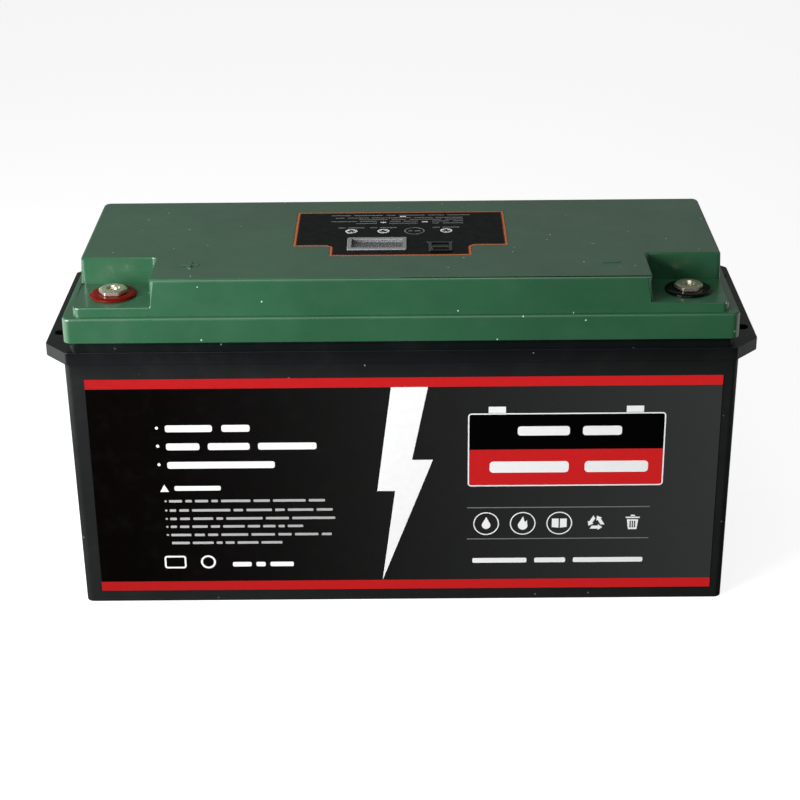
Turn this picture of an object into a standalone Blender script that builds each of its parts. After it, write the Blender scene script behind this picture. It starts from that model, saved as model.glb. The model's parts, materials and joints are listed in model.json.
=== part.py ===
"""Deep cycle lithium battery for caravans and boats, in a flanged case.

Units are metres, and MM turns millimetres into them. +Z is up, -Y is the labelled front, +X runs
towards the negative terminal, and the origin is the middle of the base.
"""

import math

import bmesh
import bpy
from mathutils import Matrix, Vector

MM = 0.001
GAP = 0.3 * MM  # clearance between pieces that touch
SMALLEST_RADIUS = 0.2 * MM
ARC_STEPS = 5

# Container: a drafted tub with a flange whose ends are the carrying ears.
BASE_HALF_X, BASE_HALF_Y = 226.8 * MM, 85.1 * MM
TUB_TOP_HALF_X, TUB_TOP_HALF_Y = 228.1 * MM, 85.4 * MM
TUB_CORNER = 5.0 * MM
BASE_EDGE = 1.2 * MM
WALL = 4.0 * MM
FLANGE_BOTTOM, FLANGE_TOP = 184.4 * MM, 193.8 * MM
FLANGE_HALF_X, FLANGE_HALF_Y = 242.5 * MM, 86.0 * MM
EAR_CHAMFER_X, EAR_CHAMFER_Y = 16.4 * MM, 18.2 * MM
RIM_TOP = 199.8 * MM
RIM_HALF_X, RIM_HALF_Y = 224.0 * MM, 84.6 * MM
MOUTH_HALF_X, MOUTH_HALF_Y = 219.1 * MM, 79.9 * MM
ROPE_HOLE_X, ROPE_HOLE_Y, ROPE_HOLE_RADIUS = 234.5 * MM, 48.7 * MM, 4.6 * MM
SEAL_DEPTH, SEAL_WIDTH = 1.8 * MM, 2.0 * MM
SEAL_INSET = 1.6 * MM  # from the rim's outer face to the groove

# Cover: a skirt, and on it a block with a terminal recess in each front corner.
SKIRT_HALF_X, SKIRT_HALF_Y = 227.5 * MM, 85.3 * MM
SKIRT_TOP = 218.1 * MM
SKIRT_CORNER = 6.0 * MM
LIP_BOTTOM = 191.8 * MM
LIP_THICKNESS = 2.5 * MM
BLOCK_HALF_X, BLOCK_HALF_Y = 220.2 * MM, 81.4 * MM
BLOCK_CORNER = 5.0 * MM
BLOCK_DRAFT = 0.5 * MM  # how far the block's sides lean in over its height
COVER_TOP = 243.8 * MM
COVER_WALL = 3.5 * MM
COVER_EDGE = 0.9 * MM
RECESS_FLOOR = 224.4 * MM
RECESS_X, RECESS_Y = 167.5 * MM, -36.2 * MM  # the recess's inner wall and its back wall
MARK_X, MARK_Y, MARK_LENGTH, MARK_WIDTH = 142.5 * MM, -53.3 * MM, 12.0 * MM, 2.2 * MM
MARK_HEIGHT = 0.6 * MM

# Printed labels.
LABEL_THICKNESS = 0.3 * MM
FRONT_LABEL_HALF_X = 216.5 * MM
FRONT_LABEL_BOTTOM, FRONT_LABEL_TOP = 9.0 * MM, 173.9 * MM
PANEL_HALF_X, PANEL_BACK_Y = 75.0 * MM, 54.8 * MM
PANEL_STEP_X, PANEL_STEP_Y, PANEL_FRONT_Y = 49.2 * MM, -17.2 * MM, -37.3 * MM
PANEL_DEPTH = 0.5 * MM

# Terminals.
TERMINAL_X, TERMINAL_Y = 195.4 * MM, -56.5 * MM
RING_RADIUS, RING_HEIGHT = 16.0 * MM, 1.7 * MM
POST_TOP, POST_BOTTOM = 229.4 * MM, 208.9 * MM
POST_HEAD_HEIGHT, POST_HEAD_FLATS = 2.8 * MM, 17.4 * MM
SHANK_RADIUS = 6.0 * MM
THREAD_RADIUS, THREAD_DEPTH = 3.5 * MM, 14.0 * MM
WASHER_THICKNESS, LUG_THICKNESS = 1.5 * MM, 1.8 * MM
LOCK_NUT_FLATS, LOCK_NUT_HEIGHT = 19.0 * MM, 6.0 * MM

# Display, in the panel.
DISPLAY_X, DISPLAY_Y = -16.4 * MM, -14.4 * MM
BEZEL_SIZE = (41.4 * MM, 24.2 * MM)
BEZEL_TOP = COVER_TOP + 1.0 * MM
WINDOW_SIZE = (35.5 * MM, 17.8 * MM)
SLEEVE_SIZE = (38.6 * MM, 21.8 * MM)
SLEEVE_INSIDE = (36.4 * MM, 19.6 * MM)
SLEEVE_BOTTOM = COVER_TOP - 9.0 * MM
LENS_THICKNESS, GLASS_THICKNESS = 1.0 * MM, 2.5 * MM

# Rocker switch, in the panel. Its rocker turns on an axis along X.
SWITCH_X, SWITCH_Y = 27.6 * MM, -21.1 * MM
SWITCH_BEZEL = (16.4 * MM, 17.8 * MM)
SWITCH_BODY = (13.8 * MM, 15.4 * MM)
SWITCH_MOUTH = (12.0 * MM, 13.8 * MM)
SWITCH_BOTTOM = COVER_TOP - 16.0 * MM
PIVOT_Z = COVER_TOP - 1.0 * MM
ROCKER_HALF_WIDTH, ROCKER_RADIUS = 5.8 * MM, 6.7 * MM
ROCKER_TILT = math.radians(12.0)
PLUNGER_LENGTH, PLUNGER_RADIUS = 10.0 * MM, 1.1 * MM
CONTACT_Z = COVER_TOP - 11.5 * MM
CONTACT_TILT = math.radians(8.0)

# Cell pack: four prismatic cells in a row along X.
CELL_SIZE = (54.0 * MM, 148.0 * MM, 172.0 * MM)
CELL_COUNT = 4
SPACER_THICKNESS = 1.5 * MM
CELL_PITCH = CELL_SIZE[0] + SPACER_THICKNESS + 2 * GAP
BASE_PAD_THICKNESS = 5.0 * MM
CELL_BOTTOM = WALL + BASE_PAD_THICKNESS + 2 * GAP
CELL_TOP = CELL_BOTTOM + CELL_SIZE[2]
STUD_Y, STUD_RADIUS, STUD_HEIGHT = 52.0 * MM, 3.0 * MM, 9.3 * MM
SEAT_RADIUS, SEAT_HEIGHT = 9.0 * MM, 2.0 * MM
LINK_WIDTH, LINK_THICKNESS = 20.0 * MM, 2.0 * MM
LINK_BOTTOM = CELL_TOP + SEAT_HEIGHT + GAP
CELL_NUT_FLATS, CELL_NUT_HEIGHT = 10.0 * MM, 4.0 * MM
END_PLATE_THICKNESS = 3.0 * MM
STRAP_WIDTH, STRAP_THICKNESS = 16.0 * MM, 0.8 * MM
STRAP_HEIGHTS = (60.0 * MM, 140.0 * MM)
VENT_HEIGHT = 0.6 * MM
BOARD_BOTTOM = CELL_TOP + VENT_HEIGHT + GAP
BOARD_THICKNESS, BOARD_HALF_Y = 1.6 * MM, 40.0 * MM

# Battery management unit, upright at the negative end, and its leads.
BMS_HALF_Y = 60.0 * MM
BMS_BOTTOM, BMS_TOP = 20.0 * MM, 160.0 * MM
HEATSINK_THICKNESS, BMS_THICKNESS = 5.0 * MM, 17.0 * MM
MAIN_CABLE_RADIUS, SIGNAL_CABLE_RADIUS = 4.5 * MM, 1.6 * MM
LUG_BARREL_RADIUS = MAIN_CABLE_RADIUS + 1.0 * MM


def clear_scene():
    for obj in list(bpy.data.objects):
        bpy.data.objects.remove(obj)


def make_material(name, colour, roughness=0.5, metallic=0.0):
    material = bpy.data.materials.new(name)
    material.use_nodes = True
    shader = material.node_tree.nodes["Principled BSDF"]
    shader.inputs["Base Color"].default_value = (*colour, 1.0)
    shader.inputs["Roughness"].default_value = roughness
    shader.inputs["Metallic"].default_value = metallic
    material.diffuse_color = (*colour, 1.0)
    return material


def finish_object(name, bm, material, location=(0, 0, 0)):
    """Makes bm an object, with its round faces shaded smooth."""
    bmesh.ops.recalc_face_normals(bm, faces=bm.faces)
    mesh = bpy.data.meshes.new(name)
    bm.to_mesh(mesh)
    bm.free()
    mesh.shade_smooth()
    mesh.set_sharp_from_angle(angle=math.radians(30))
    mesh.materials.append(material)
    obj = bpy.data.objects.new(name, mesh)
    obj.location = location
    bpy.context.collection.objects.link(obj)
    return obj


# Outlines in the XY plane.


def outline(corners, inset=0.0, steps=ARC_STEPS):
    """A closed counter-clockwise outline with round corners, moved inwards by inset.

    Each corner is (x, y, radius).
    """
    points = []
    for i, (x, y, radius) in enumerate(corners):
        corner = Vector((x, y))
        into = (corner - Vector(corners[i - 1][:2])).normalized()
        out = (Vector(corners[(i + 1) % len(corners)][:2]) - corner).normalized()
        turn = math.atan2(into.x * out.y - into.y * out.x, into.dot(out))
        side = 1 if turn > 0 else -1
        left_in, left_out = Vector((-into.y, into.x)), Vector((-out.y, out.x))
        corner += (left_in + left_out) * (inset / (1 + left_in.dot(left_out)))
        rounding = max(radius - side * inset, SMALLEST_RADIUS)
        start = corner - into * (rounding * math.tan(abs(turn) / 2))
        centre = start + left_in * (rounding * side)
        for step in range(steps + 1):
            spoke = start - centre
            spoke.rotate(Matrix.Rotation(turn * step / steps, 2))
            points.append(centre + spoke)
    return points


def rectangle(half_x, half_y, radius=SMALLEST_RADIUS, centre=(0, 0)):
    """The corners of a rectangle, for outline."""
    x, y = centre
    return [
        (x - half_x, y - half_y, radius),
        (x + half_x, y - half_y, radius),
        (x + half_x, y + half_y, radius),
        (x - half_x, y + half_y, radius),
    ]


def regular(radius, sides, start=0.0):
    """A regular polygon, which stands for a circle when it has many sides."""
    angles = [start + math.tau * i / sides for i in range(sides)]
    return [Vector((radius * math.cos(a), radius * math.sin(a))) for a in angles]


def hexagon(across_flats):
    return regular(across_flats / math.sqrt(3), 6)


# Solids.


def loft(name, rings, material, location=(0, 0, 0)):
    """A closed body through rings, each (outline, z), which all have as many points."""
    bm = bmesh.new()
    loops = [[bm.verts.new((p.x, p.y, z)) for p in points] for points, z in rings]
    for lower, upper in zip(loops, loops[1:]):
        for i in range(len(lower)):
            bm.faces.new((lower[i - 1], lower[i], upper[i], upper[i - 1]))
    bm.faces.new(loops[0][::-1])
    bm.faces.new(loops[-1])
    return finish_object(name, bm, material, location)


def turned_ring(name, profile, sides, material, location=(0, 0, 0)):
    """A body with an open middle, turned round Z from a closed profile of (radius, z)."""
    bm = bmesh.new()
    loops = []
    for i in range(sides):
        angle = math.tau * i / sides
        cos, sin = math.cos(angle), math.sin(angle)
        loops.append([bm.verts.new((r * cos, r * sin, z)) for r, z in profile])
    for i in range(sides):
        here, there = loops[i - 1], loops[i]
        for j in range(len(profile)):
            bm.faces.new((here[j - 1], here[j], there[j], there[j - 1]))
    return finish_object(name, bm, material, location)


def block(name, low, high, material, edge=0.0):
    """A box between two corners, with its edges rounded by a Bevel modifier."""
    low, high = Vector(low), Vector(high)
    bm = bmesh.new()
    bmesh.ops.create_cube(bm, size=1.0)
    bmesh.ops.scale(bm, vec=high - low, verts=bm.verts)
    obj = finish_object(name, bm, material, (low + high) / 2)
    if edge:
        bevel = obj.modifiers.new("Bevel", "BEVEL")
        bevel.width = edge
        bevel.segments = 2
    return obj


def extruded(name, points, axis, low, high, material, location=(0, 0, 0)):
    """A prism of a closed outline. Along X, the outline's own x and y are the body's Y and Z."""
    bm = bmesh.new()
    turn = {"X": lambda p, t: (t, p[0], p[1]), "Z": lambda p, t: (p[0], p[1], t)}[axis]
    face = bm.faces.new([bm.verts.new(turn(p, low)) for p in points])
    raised = bmesh.ops.extrude_face_region(bm, geom=[face])["geom"]
    moved = [v for v in raised if isinstance(v, bmesh.types.BMVert)]
    bmesh.ops.translate(bm, verts=moved, vec=turn((0, 0), high - low))
    return finish_object(name, bm, material, location)


def combine(obj, tool, operation):
    """Adds an exact Boolean with tool, which then isn't part of the model."""
    tool.hide_render = True
    tool.display_type = "WIRE"
    boolean = obj.modifiers.new(tool.name, "BOOLEAN")
    boolean.operation = operation
    boolean.solver = "EXACT"
    boolean.object = tool
    return obj


def cut(obj, *tools):
    for tool in tools:
        combine(obj, tool, "DIFFERENCE")
    return obj


def join(obj, *tools):
    for tool in tools:
        combine(obj, tool, "UNION")
    return obj


def cable(name, points, radius, material, resolution=2):
    """A round lead on a smooth curve through points, as a bevelled curve with filled caps."""
    curve = bpy.data.curves.new(name, "CURVE")
    curve.dimensions = "3D"
    curve.bevel_depth = radius
    curve.bevel_resolution = resolution
    curve.use_fill_caps = True
    smooth = smooth_route([Vector(p) for p in points])
    spline = curve.splines.new("POLY")
    spline.points.add(len(smooth) - 1)
    for target, point in zip(spline.points, smooth):
        target.co = (*point, 1.0)
    curve.materials.append(material)
    obj = bpy.data.objects.new(name, curve)
    bpy.context.collection.objects.link(obj)
    return obj


def smooth_route(points, steps=5):
    """Points of a Catmull-Rom curve through the given points, with a straight stub at each end."""
    route = [points[0]]
    for a, b, c, d in zip(points, points[1:], points[2:], points[3:]):
        for step in range(steps):
            t = step / steps
            bend = (2 * a - 5 * b + 4 * c - d) * t * t + (3 * b - a - 3 * c + d) * t**3
            route.append((2 * b + (c - a) * t + bend) / 2)
    return route + points[-2:]


# The case.


def make_container(material):
    tub = rectangle(BASE_HALF_X, BASE_HALF_Y, TUB_CORNER)
    top = rectangle(TUB_TOP_HALF_X, TUB_TOP_HALF_Y, TUB_CORNER)
    rim = rectangle(RIM_HALF_X, RIM_HALF_Y, TUB_CORNER)
    container = loft(
        "container",
        [
            (outline(tub, BASE_EDGE), 0.0),
            (outline(tub, BASE_EDGE * 0.3), BASE_EDGE * 0.3),
            (outline(tub), BASE_EDGE),
            (outline(top), FLANGE_BOTTOM),
            (outline(rim), FLANGE_TOP - 1 * MM),
            (outline(rim), RIM_TOP - 0.5 * MM),
            (outline(rim, 0.5 * MM), RIM_TOP),
        ],
        material,
    )
    hollow = loft(
        "container_hollow",
        [
            (outline(tub, WALL), WALL),
            (outline(top, WALL), FLANGE_BOTTOM - 6 * MM),
            (outline(rectangle(MOUTH_HALF_X, MOUTH_HALF_Y, 2 * MM)), FLANGE_BOTTOM),
            (outline(rectangle(MOUTH_HALF_X, MOUTH_HALF_Y, 2 * MM)), RIM_TOP + WALL),
        ],
        material,
    )
    groove = ring_wall("seal_groove", SEAL_INSET, SEAL_WIDTH, RIM_TOP - SEAL_DEPTH, RIM_TOP + WALL, material)
    join(container, make_flange(material))
    cut(container, hollow, groove)
    for x in (-ROPE_HOLE_X, ROPE_HOLE_X):
        for y in (-ROPE_HOLE_Y, ROPE_HOLE_Y):
            low, high = FLANGE_BOTTOM - WALL, FLANGE_TOP + WALL
            circle = regular(ROPE_HOLE_RADIUS, 24)
            cut(container, extruded("rope_hole", circle, "Z", low, high, material, (x, y, 0)))
    return container


def make_flange(material):
    """The plate round the tub, with chamfered ears at its ends."""
    chamfer_x, chamfer_y = FLANGE_HALF_X - EAR_CHAMFER_X, FLANGE_HALF_Y - EAR_CHAMFER_Y
    radius = 1.0 * MM
    corners = [
        (-FLANGE_HALF_X, -chamfer_y, radius),
        (-chamfer_x, -FLANGE_HALF_Y, radius),
        (chamfer_x, -FLANGE_HALF_Y, radius),
        (FLANGE_HALF_X, -chamfer_y, radius),
        (FLANGE_HALF_X, chamfer_y, radius),
        (chamfer_x, FLANGE_HALF_Y, radius),
        (-chamfer_x, FLANGE_HALF_Y, radius),
        (-FLANGE_HALF_X, chamfer_y, radius),
    ]
    edge = 0.6 * MM
    rings = [
        (outline(corners, edge, 2), FLANGE_BOTTOM + 0.4 * MM),
        (outline(corners, 0, 2), FLANGE_BOTTOM + edge + 0.4 * MM),
        (outline(corners, 0, 2), FLANGE_TOP - edge),
        (outline(corners, edge, 2), FLANGE_TOP),
    ]
    return loft("flange", rings, material)


def ring_wall(name, inset, width, low, high, material):
    """A closed loop that follows the container's rim, inset from its outer face."""
    corners = rectangle(RIM_HALF_X, RIM_HALF_Y, TUB_CORNER)
    bm = bmesh.new()
    loops = []
    for distance, z in ((inset, low), (inset, high), (inset + width, high), (inset + width, low)):
        loops.append([bm.verts.new((p.x, p.y, z)) for p in outline(corners, distance)])
    for i, loop in enumerate(loops):
        after = loops[(i + 1) % len(loops)]
        for j in range(len(loop)):
            bm.faces.new((loop[j - 1], loop[j], after[j], after[j - 1]))
    return finish_object(name, bm, material)


def notched(half_x, half_y, notch_x, notch_y, radius):
    """The cover block's corners, with a rectangular notch in each front corner."""
    return [
        (-notch_x, -half_y, radius),
        (notch_x, -half_y, radius),
        (notch_x, notch_y, radius * 0.6),
        (half_x, notch_y, radius),
        (half_x, half_y, radius),
        (-half_x, half_y, radius),
        (-half_x, notch_y, radius),
        (-notch_x, notch_y, radius * 0.6),
    ]


def make_cover(material):
    lip = rectangle(MOUTH_HALF_X - 0.4 * MM, MOUTH_HALF_Y - 0.4 * MM, 2 * MM)
    skirt = rectangle(SKIRT_HALF_X, SKIRT_HALF_Y, SKIRT_CORNER)
    foot = RIM_TOP + GAP
    cover = loft(
        "cover",
        [
            (outline(lip), LIP_BOTTOM),
            (outline(lip), foot),
            (outline(skirt, 1.4 * MM), foot),
            (outline(skirt, 0.4 * MM), foot + 0.4 * MM),
            (outline(skirt), foot + 1.4 * MM),
            (outline(skirt, 0.3 * MM), SKIRT_TOP - COVER_EDGE),
            (outline(skirt, 0.6 * MM), SKIRT_TOP - 0.3 * COVER_EDGE),
            (outline(skirt, 0.3 * MM + COVER_EDGE), SKIRT_TOP),
        ],
        material,
    )
    block_corners = notched(BLOCK_HALF_X, BLOCK_HALF_Y, RECESS_X, RECESS_Y, BLOCK_CORNER)
    upper = loft(
        "cover_block",
        [
            (outline(block_corners), SKIRT_TOP - 2 * MM),
            (outline(block_corners, BLOCK_DRAFT), COVER_TOP - COVER_EDGE),
            (outline(block_corners, BLOCK_DRAFT + 0.3 * COVER_EDGE), COVER_TOP - 0.3 * COVER_EDGE),
            (outline(block_corners, BLOCK_DRAFT + COVER_EDGE), COVER_TOP),
        ],
        material,
    )
    join(cover, upper)
    for side in (-1, 1):
        join(cover, make_pedestal(side, material))
    cut(cover, *cover_hollows(material))
    cut(cover, panel_outline_body("panel_recess", 0.0, COVER_TOP - PANEL_DEPTH, COVER_TOP + WALL, material))
    display_opening = box_tool("display_opening", SLEEVE_SIZE, (DISPLAY_X, DISPLAY_Y), material)
    switch_opening = box_tool("switch_opening", SWITCH_BODY, (SWITCH_X, SWITCH_Y), material)
    cut(cover, display_opening, switch_opening)
    for side in (-1, 1):
        hole = regular(SHANK_RADIUS + 0.5 * MM, 24)
        low, high = RECESS_FLOOR - 3 * COVER_WALL, RECESS_FLOOR + COVER_WALL
        at = (side * TERMINAL_X, TERMINAL_Y, 0)
        cut(cover, extruded("terminal_hole", hole, "Z", low, high, material, at))
    join(cover, *polarity_marks(material))
    return cover


def make_pedestal(side, material):
    """The floor under a terminal recess. It is sunk into the block's rounded edges."""
    buried = 3.5 * MM
    inner_x, outer_x = RECESS_X - buried, BLOCK_HALF_X
    back_y, front_y = RECESS_Y + buried, -BLOCK_HALF_Y
    corners = [
        (inner_x, front_y, SMALLEST_RADIUS),
        (outer_x, front_y, BLOCK_CORNER),
        (outer_x, back_y, SMALLEST_RADIUS),
        (inner_x, back_y, SMALLEST_RADIUS),
    ]
    if side < 0:
        corners = [(-x, y, radius) for x, y, radius in corners[::-1]]
    rings = [
        (outline(corners, 0.05 * MM), SKIRT_TOP - 3 * MM),
        (outline(corners, 0.25 * MM), RECESS_FLOOR - COVER_EDGE),
        (outline(corners, 0.25 * MM + 0.3 * COVER_EDGE), RECESS_FLOOR - 0.3 * COVER_EDGE),
        (outline(corners, 0.25 * MM + COVER_EDGE), RECESS_FLOOR),
    ]
    return loft("cover_pedestal", rings, material)


def cover_hollows(material):
    """What is taken out of the cover from below: the skirt, the block and the recess floors."""
    mouth = rectangle(MOUTH_HALF_X - LIP_THICKNESS, MOUTH_HALF_Y - LIP_THICKNESS, 2 * MM)
    skirt = rectangle(SKIRT_HALF_X, SKIRT_HALF_Y, SKIRT_CORNER)
    shoulder = RIM_TOP + 5 * MM
    skirt_hollow = loft(
        "skirt_hollow",
        [
            (outline(mouth), LIP_BOTTOM - WALL),
            (outline(mouth), shoulder),
            (outline(skirt, COVER_WALL + 0.3 * MM), shoulder + 2 * MM),
            (outline(skirt, COVER_WALL + 0.6 * MM), SKIRT_TOP - COVER_WALL),
        ],
        material,
    )
    corners = notched(BLOCK_HALF_X, BLOCK_HALF_Y, RECESS_X, RECESS_Y, BLOCK_CORNER)
    block_hollow = loft(
        "block_hollow",
        [
            (outline(corners, COVER_WALL), SKIRT_TOP - 3 * COVER_WALL),
            (outline(corners, COVER_WALL + BLOCK_DRAFT), COVER_TOP - COVER_WALL),
        ],
        material,
    )
    hollows = [skirt_hollow, block_hollow]
    for side in (-1, 1):
        overlap = 8 * MM
        half_x = (BLOCK_HALF_X - COVER_WALL - RECESS_X + overlap) / 2
        half_y = (BLOCK_HALF_Y - COVER_WALL + RECESS_Y + overlap) / 2
        centre = (
            side * (BLOCK_HALF_X - COVER_WALL - 0.3 * MM - half_x),
            half_y - BLOCK_HALF_Y + COVER_WALL + 0.3 * MM,
        )
        points = outline(rectangle(half_x, half_y, 1 * MM, centre))
        low, high = SKIRT_TOP - 2.5 * COVER_WALL, RECESS_FLOOR - COVER_WALL
        hollows.append(extruded("recess_hollow", points, "Z", low, high, material))
    return hollows


def panel_outline_body(name, inset, low, high, material):
    """The stepped panel on the cover's top, as a prism between two heights."""
    inner, outer = 0.4 * MM, 4.0 * MM
    corners = [
        (-PANEL_STEP_X, PANEL_FRONT_Y, inner),
        (PANEL_STEP_X, PANEL_FRONT_Y, inner),
        (PANEL_STEP_X, PANEL_STEP_Y, outer),
        (PANEL_HALF_X, PANEL_STEP_Y, inner),
        (PANEL_HALF_X, PANEL_BACK_Y, inner),
        (-PANEL_HALF_X, PANEL_BACK_Y, inner),
        (-PANEL_HALF_X, PANEL_STEP_Y, inner),
        (-PANEL_STEP_X, PANEL_STEP_Y, outer),
    ]
    return extruded(name, outline(corners, inset), "Z", low, high, material)


def box_tool(name, size, centre, material):
    """A cutter through the cover's top for a body of the given size."""
    clearance = 0.4 * MM
    half_x, half_y = size[0] / 2 + clearance, size[1] / 2 + clearance
    points = outline(rectangle(half_x, half_y, 0.5 * MM, centre), 0, 2)
    return extruded(name, points, "Z", COVER_TOP - 3 * COVER_WALL, COVER_TOP + WALL, material)


def polarity_marks(material):
    """The raised plus and minus beside the terminals."""
    half, width = MARK_LENGTH / 2, MARK_WIDTH / 2
    low, high = COVER_TOP - MM, COVER_TOP + MARK_HEIGHT
    plus = [
        (-width, -half, 0), (width, -half, 0), (width, -width, 0), (half, -width, 0),
        (half, width, 0), (width, width, 0), (width, half, 0), (-width, half, 0),
        (-width, width, 0), (-half, width, 0), (-half, -width, 0), (-width, -width, 0),
    ]
    minus = rectangle(half, width)
    marks = []
    for x, corners in ((-MARK_X, plus), (MARK_X, minus)):
        points = [Vector(corner[:2]) for corner in corners]
        marks.append(extruded("polarity_mark", points, "Z", low, high, material, (x, MARK_Y, 0)))
    return marks


def make_front_label(material):
    """A thin sheet that leans with the tub's drafted front."""
    slope = (TUB_TOP_HALF_Y - BASE_HALF_Y) / (FLANGE_BOTTOM - BASE_EDGE)
    profile = []
    for away in (0.05 * MM, 0.05 * MM + LABEL_THICKNESS):
        for z in (FRONT_LABEL_BOTTOM, FRONT_LABEL_TOP):
            profile.append((-(BASE_HALF_Y + slope * (z - BASE_EDGE) + away), z))
    corners = [profile[0], profile[1], profile[3], profile[2]]
    return extruded("front_label", corners, "X", -FRONT_LABEL_HALF_X, FRONT_LABEL_HALF_X, material)


def make_top_label(material):
    low = COVER_TOP - PANEL_DEPTH + 0.05 * MM
    label = panel_outline_body("top_label", GAP, low, low + LABEL_THICKNESS, material)
    tools = [
        box_tool("label_window", SLEEVE_SIZE, (DISPLAY_X, DISPLAY_Y), material),
        box_tool("label_switch_window", SWITCH_BODY, (SWITCH_X, SWITCH_Y), material),
    ]
    return cut(label, *tools)


# Terminals. side is -1 at the positive end and +1 at the negative one.


def make_terminal(side, name, plastic, brass, rubber):
    at = (side * TERMINAL_X, TERMINAL_Y, 0)
    low = RECESS_FLOOR + GAP
    bore = SHANK_RADIUS + 0.3 * MM
    dome = [
        (RING_RADIUS, 0.0),
        (RING_RADIUS * 0.98, 0.5 * RING_HEIGHT),
        (RING_RADIUS * 0.91, 0.85 * RING_HEIGHT),
        (RING_RADIUS * 0.8, RING_HEIGHT),
        (bore, RING_HEIGHT),
        (bore, 0.0),
    ]
    turned_ring(f"terminal_ring_{name}", [(r, z + low) for r, z in dome], 32, plastic, at)
    make_post(f"terminal_post_{name}", at, brass)
    under = RECESS_FLOOR - COVER_WALL - GAP
    washer = square_profile(bore, 10 * MM, under - WASHER_THICKNESS, under)
    turned_ring(f"terminal_washer_{name}", washer, 20, rubber, at)
    lug_top = under - WASHER_THICKNESS - GAP
    make_lug(f"terminal_lug_{name}", at, -side, -1, lug_top - LUG_THICKNESS, SHANK_RADIUS, brass)
    nut_top = lug_top - LUG_THICKNESS - GAP
    make_nut(f"terminal_nut_{name}", at, LOCK_NUT_FLATS, nut_top - LOCK_NUT_HEIGHT, nut_top, bore, brass)


def square_profile(inner, outer, low, high):
    return [(outer, low), (outer, high), (inner, high), (inner, low)]


def make_post(name, at, material):
    """A hexagon-headed post with a blind threaded hole, drawn here as a plain hole."""
    head_low = POST_TOP - POST_HEAD_HEIGHT
    corners = [(point.x, point.y, 0.8 * MM) for point in hexagon(POST_HEAD_FLATS)]
    post = loft(
        name,
        [
            (outline(corners, 0.4 * MM, 2), head_low),
            (outline(corners, 0, 2), head_low + 0.4 * MM),
            (outline(corners, 0, 2), POST_TOP - 0.6 * MM),
            (outline(corners, 0.6 * MM, 2), POST_TOP),
        ],
        material,
        at,
    )
    shank = regular(SHANK_RADIUS, 24)
    join(post, extruded("shank", shank, "Z", POST_BOTTOM, POST_TOP - MM, material, at))
    chamfer = THREAD_RADIUS + 1.2 * MM
    hole = loft(
        "post_hole",
        [
            (regular(THREAD_RADIUS, 24), POST_TOP - THREAD_DEPTH),
            (regular(THREAD_RADIUS, 24), POST_TOP - 1.2 * MM),
            (regular(chamfer, 24), POST_TOP),
            (regular(chamfer, 24), POST_TOP + MM),
        ],
        material,
        at,
    )
    return cut(post, hole)


def make_nut(name, at, across_flats, low, high, bore, material):
    nut = loft(name, [(hexagon(across_flats), low), (hexagon(across_flats), high)], material, at)
    return cut(nut, extruded("nut_bore", regular(bore, 16), "Z", low - MM, high + MM, material, at))


def make_lug(name, at, toward, rise, low, stud_radius, material):
    """A ring lug: a flat palm round a stud, and a barrel that points along X to the cable.

    rise is 1 where the barrel stands above the palm, and -1 where it hangs below it.
    """
    palm = stud_radius + 3.0 * MM
    barrel = LUG_BARREL_RADIUS
    high = low + LUG_THICKNESS
    lug = extruded(name, regular(palm, 20), "Z", low, high, material, at)
    x_low, x_high = sorted((toward * palm * 0.6, toward * (palm + 5 * MM)))
    strip = rectangle((x_high - x_low) / 2, palm * 0.7, 0.4 * MM, ((x_low + x_high) / 2, 0))
    neck_low, neck_high = low + 0.15 * MM, high - 0.15 * MM
    neck = extruded("lug_neck", outline(strip, 0, 1), "Z", neck_low, neck_high, material, at)
    x_low, x_high = sorted((toward * (palm + 3 * MM), toward * (palm + 13 * MM)))
    height = barrel_height(low, rise)
    circle = [(p.x, p.y + height) for p in regular(barrel, 16, math.tau / 32)]
    tube = extruded("lug_barrel", circle, "X", x_low, x_high, material, at)
    join(lug, neck, tube)
    hole = regular(stud_radius + 0.3 * MM, 16)
    return cut(lug, extruded("lug_hole", hole, "Z", low - MM, high + MM, material, at))


def barrel_height(low, rise):
    return low + LUG_THICKNESS / 2 + rise * (LUG_BARREL_RADIUS - LUG_THICKNESS / 2)


def lug_mouth(x, y, toward, rise, low, stud_radius):
    """Where a cable meets a lug's barrel."""
    reach = stud_radius + 16.0 * MM + GAP
    return Vector((x + toward * reach, y, barrel_height(low, rise)))


# The display and the switch.


def frame_wall(name, outer, inner, low, high, centre, material):
    """A rectangular frame between two heights."""
    around = outline(rectangle(outer[0] / 2, outer[1] / 2, 1 * MM, centre), 0, 2)
    body = extruded(name, around, "Z", low, high, material)
    hole = outline(rectangle(inner[0] / 2, inner[1] / 2, 0.4 * MM, centre), 0, 2)
    return cut(body, extruded(f"{name}_opening", hole, "Z", low - MM, high + MM, material))


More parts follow.
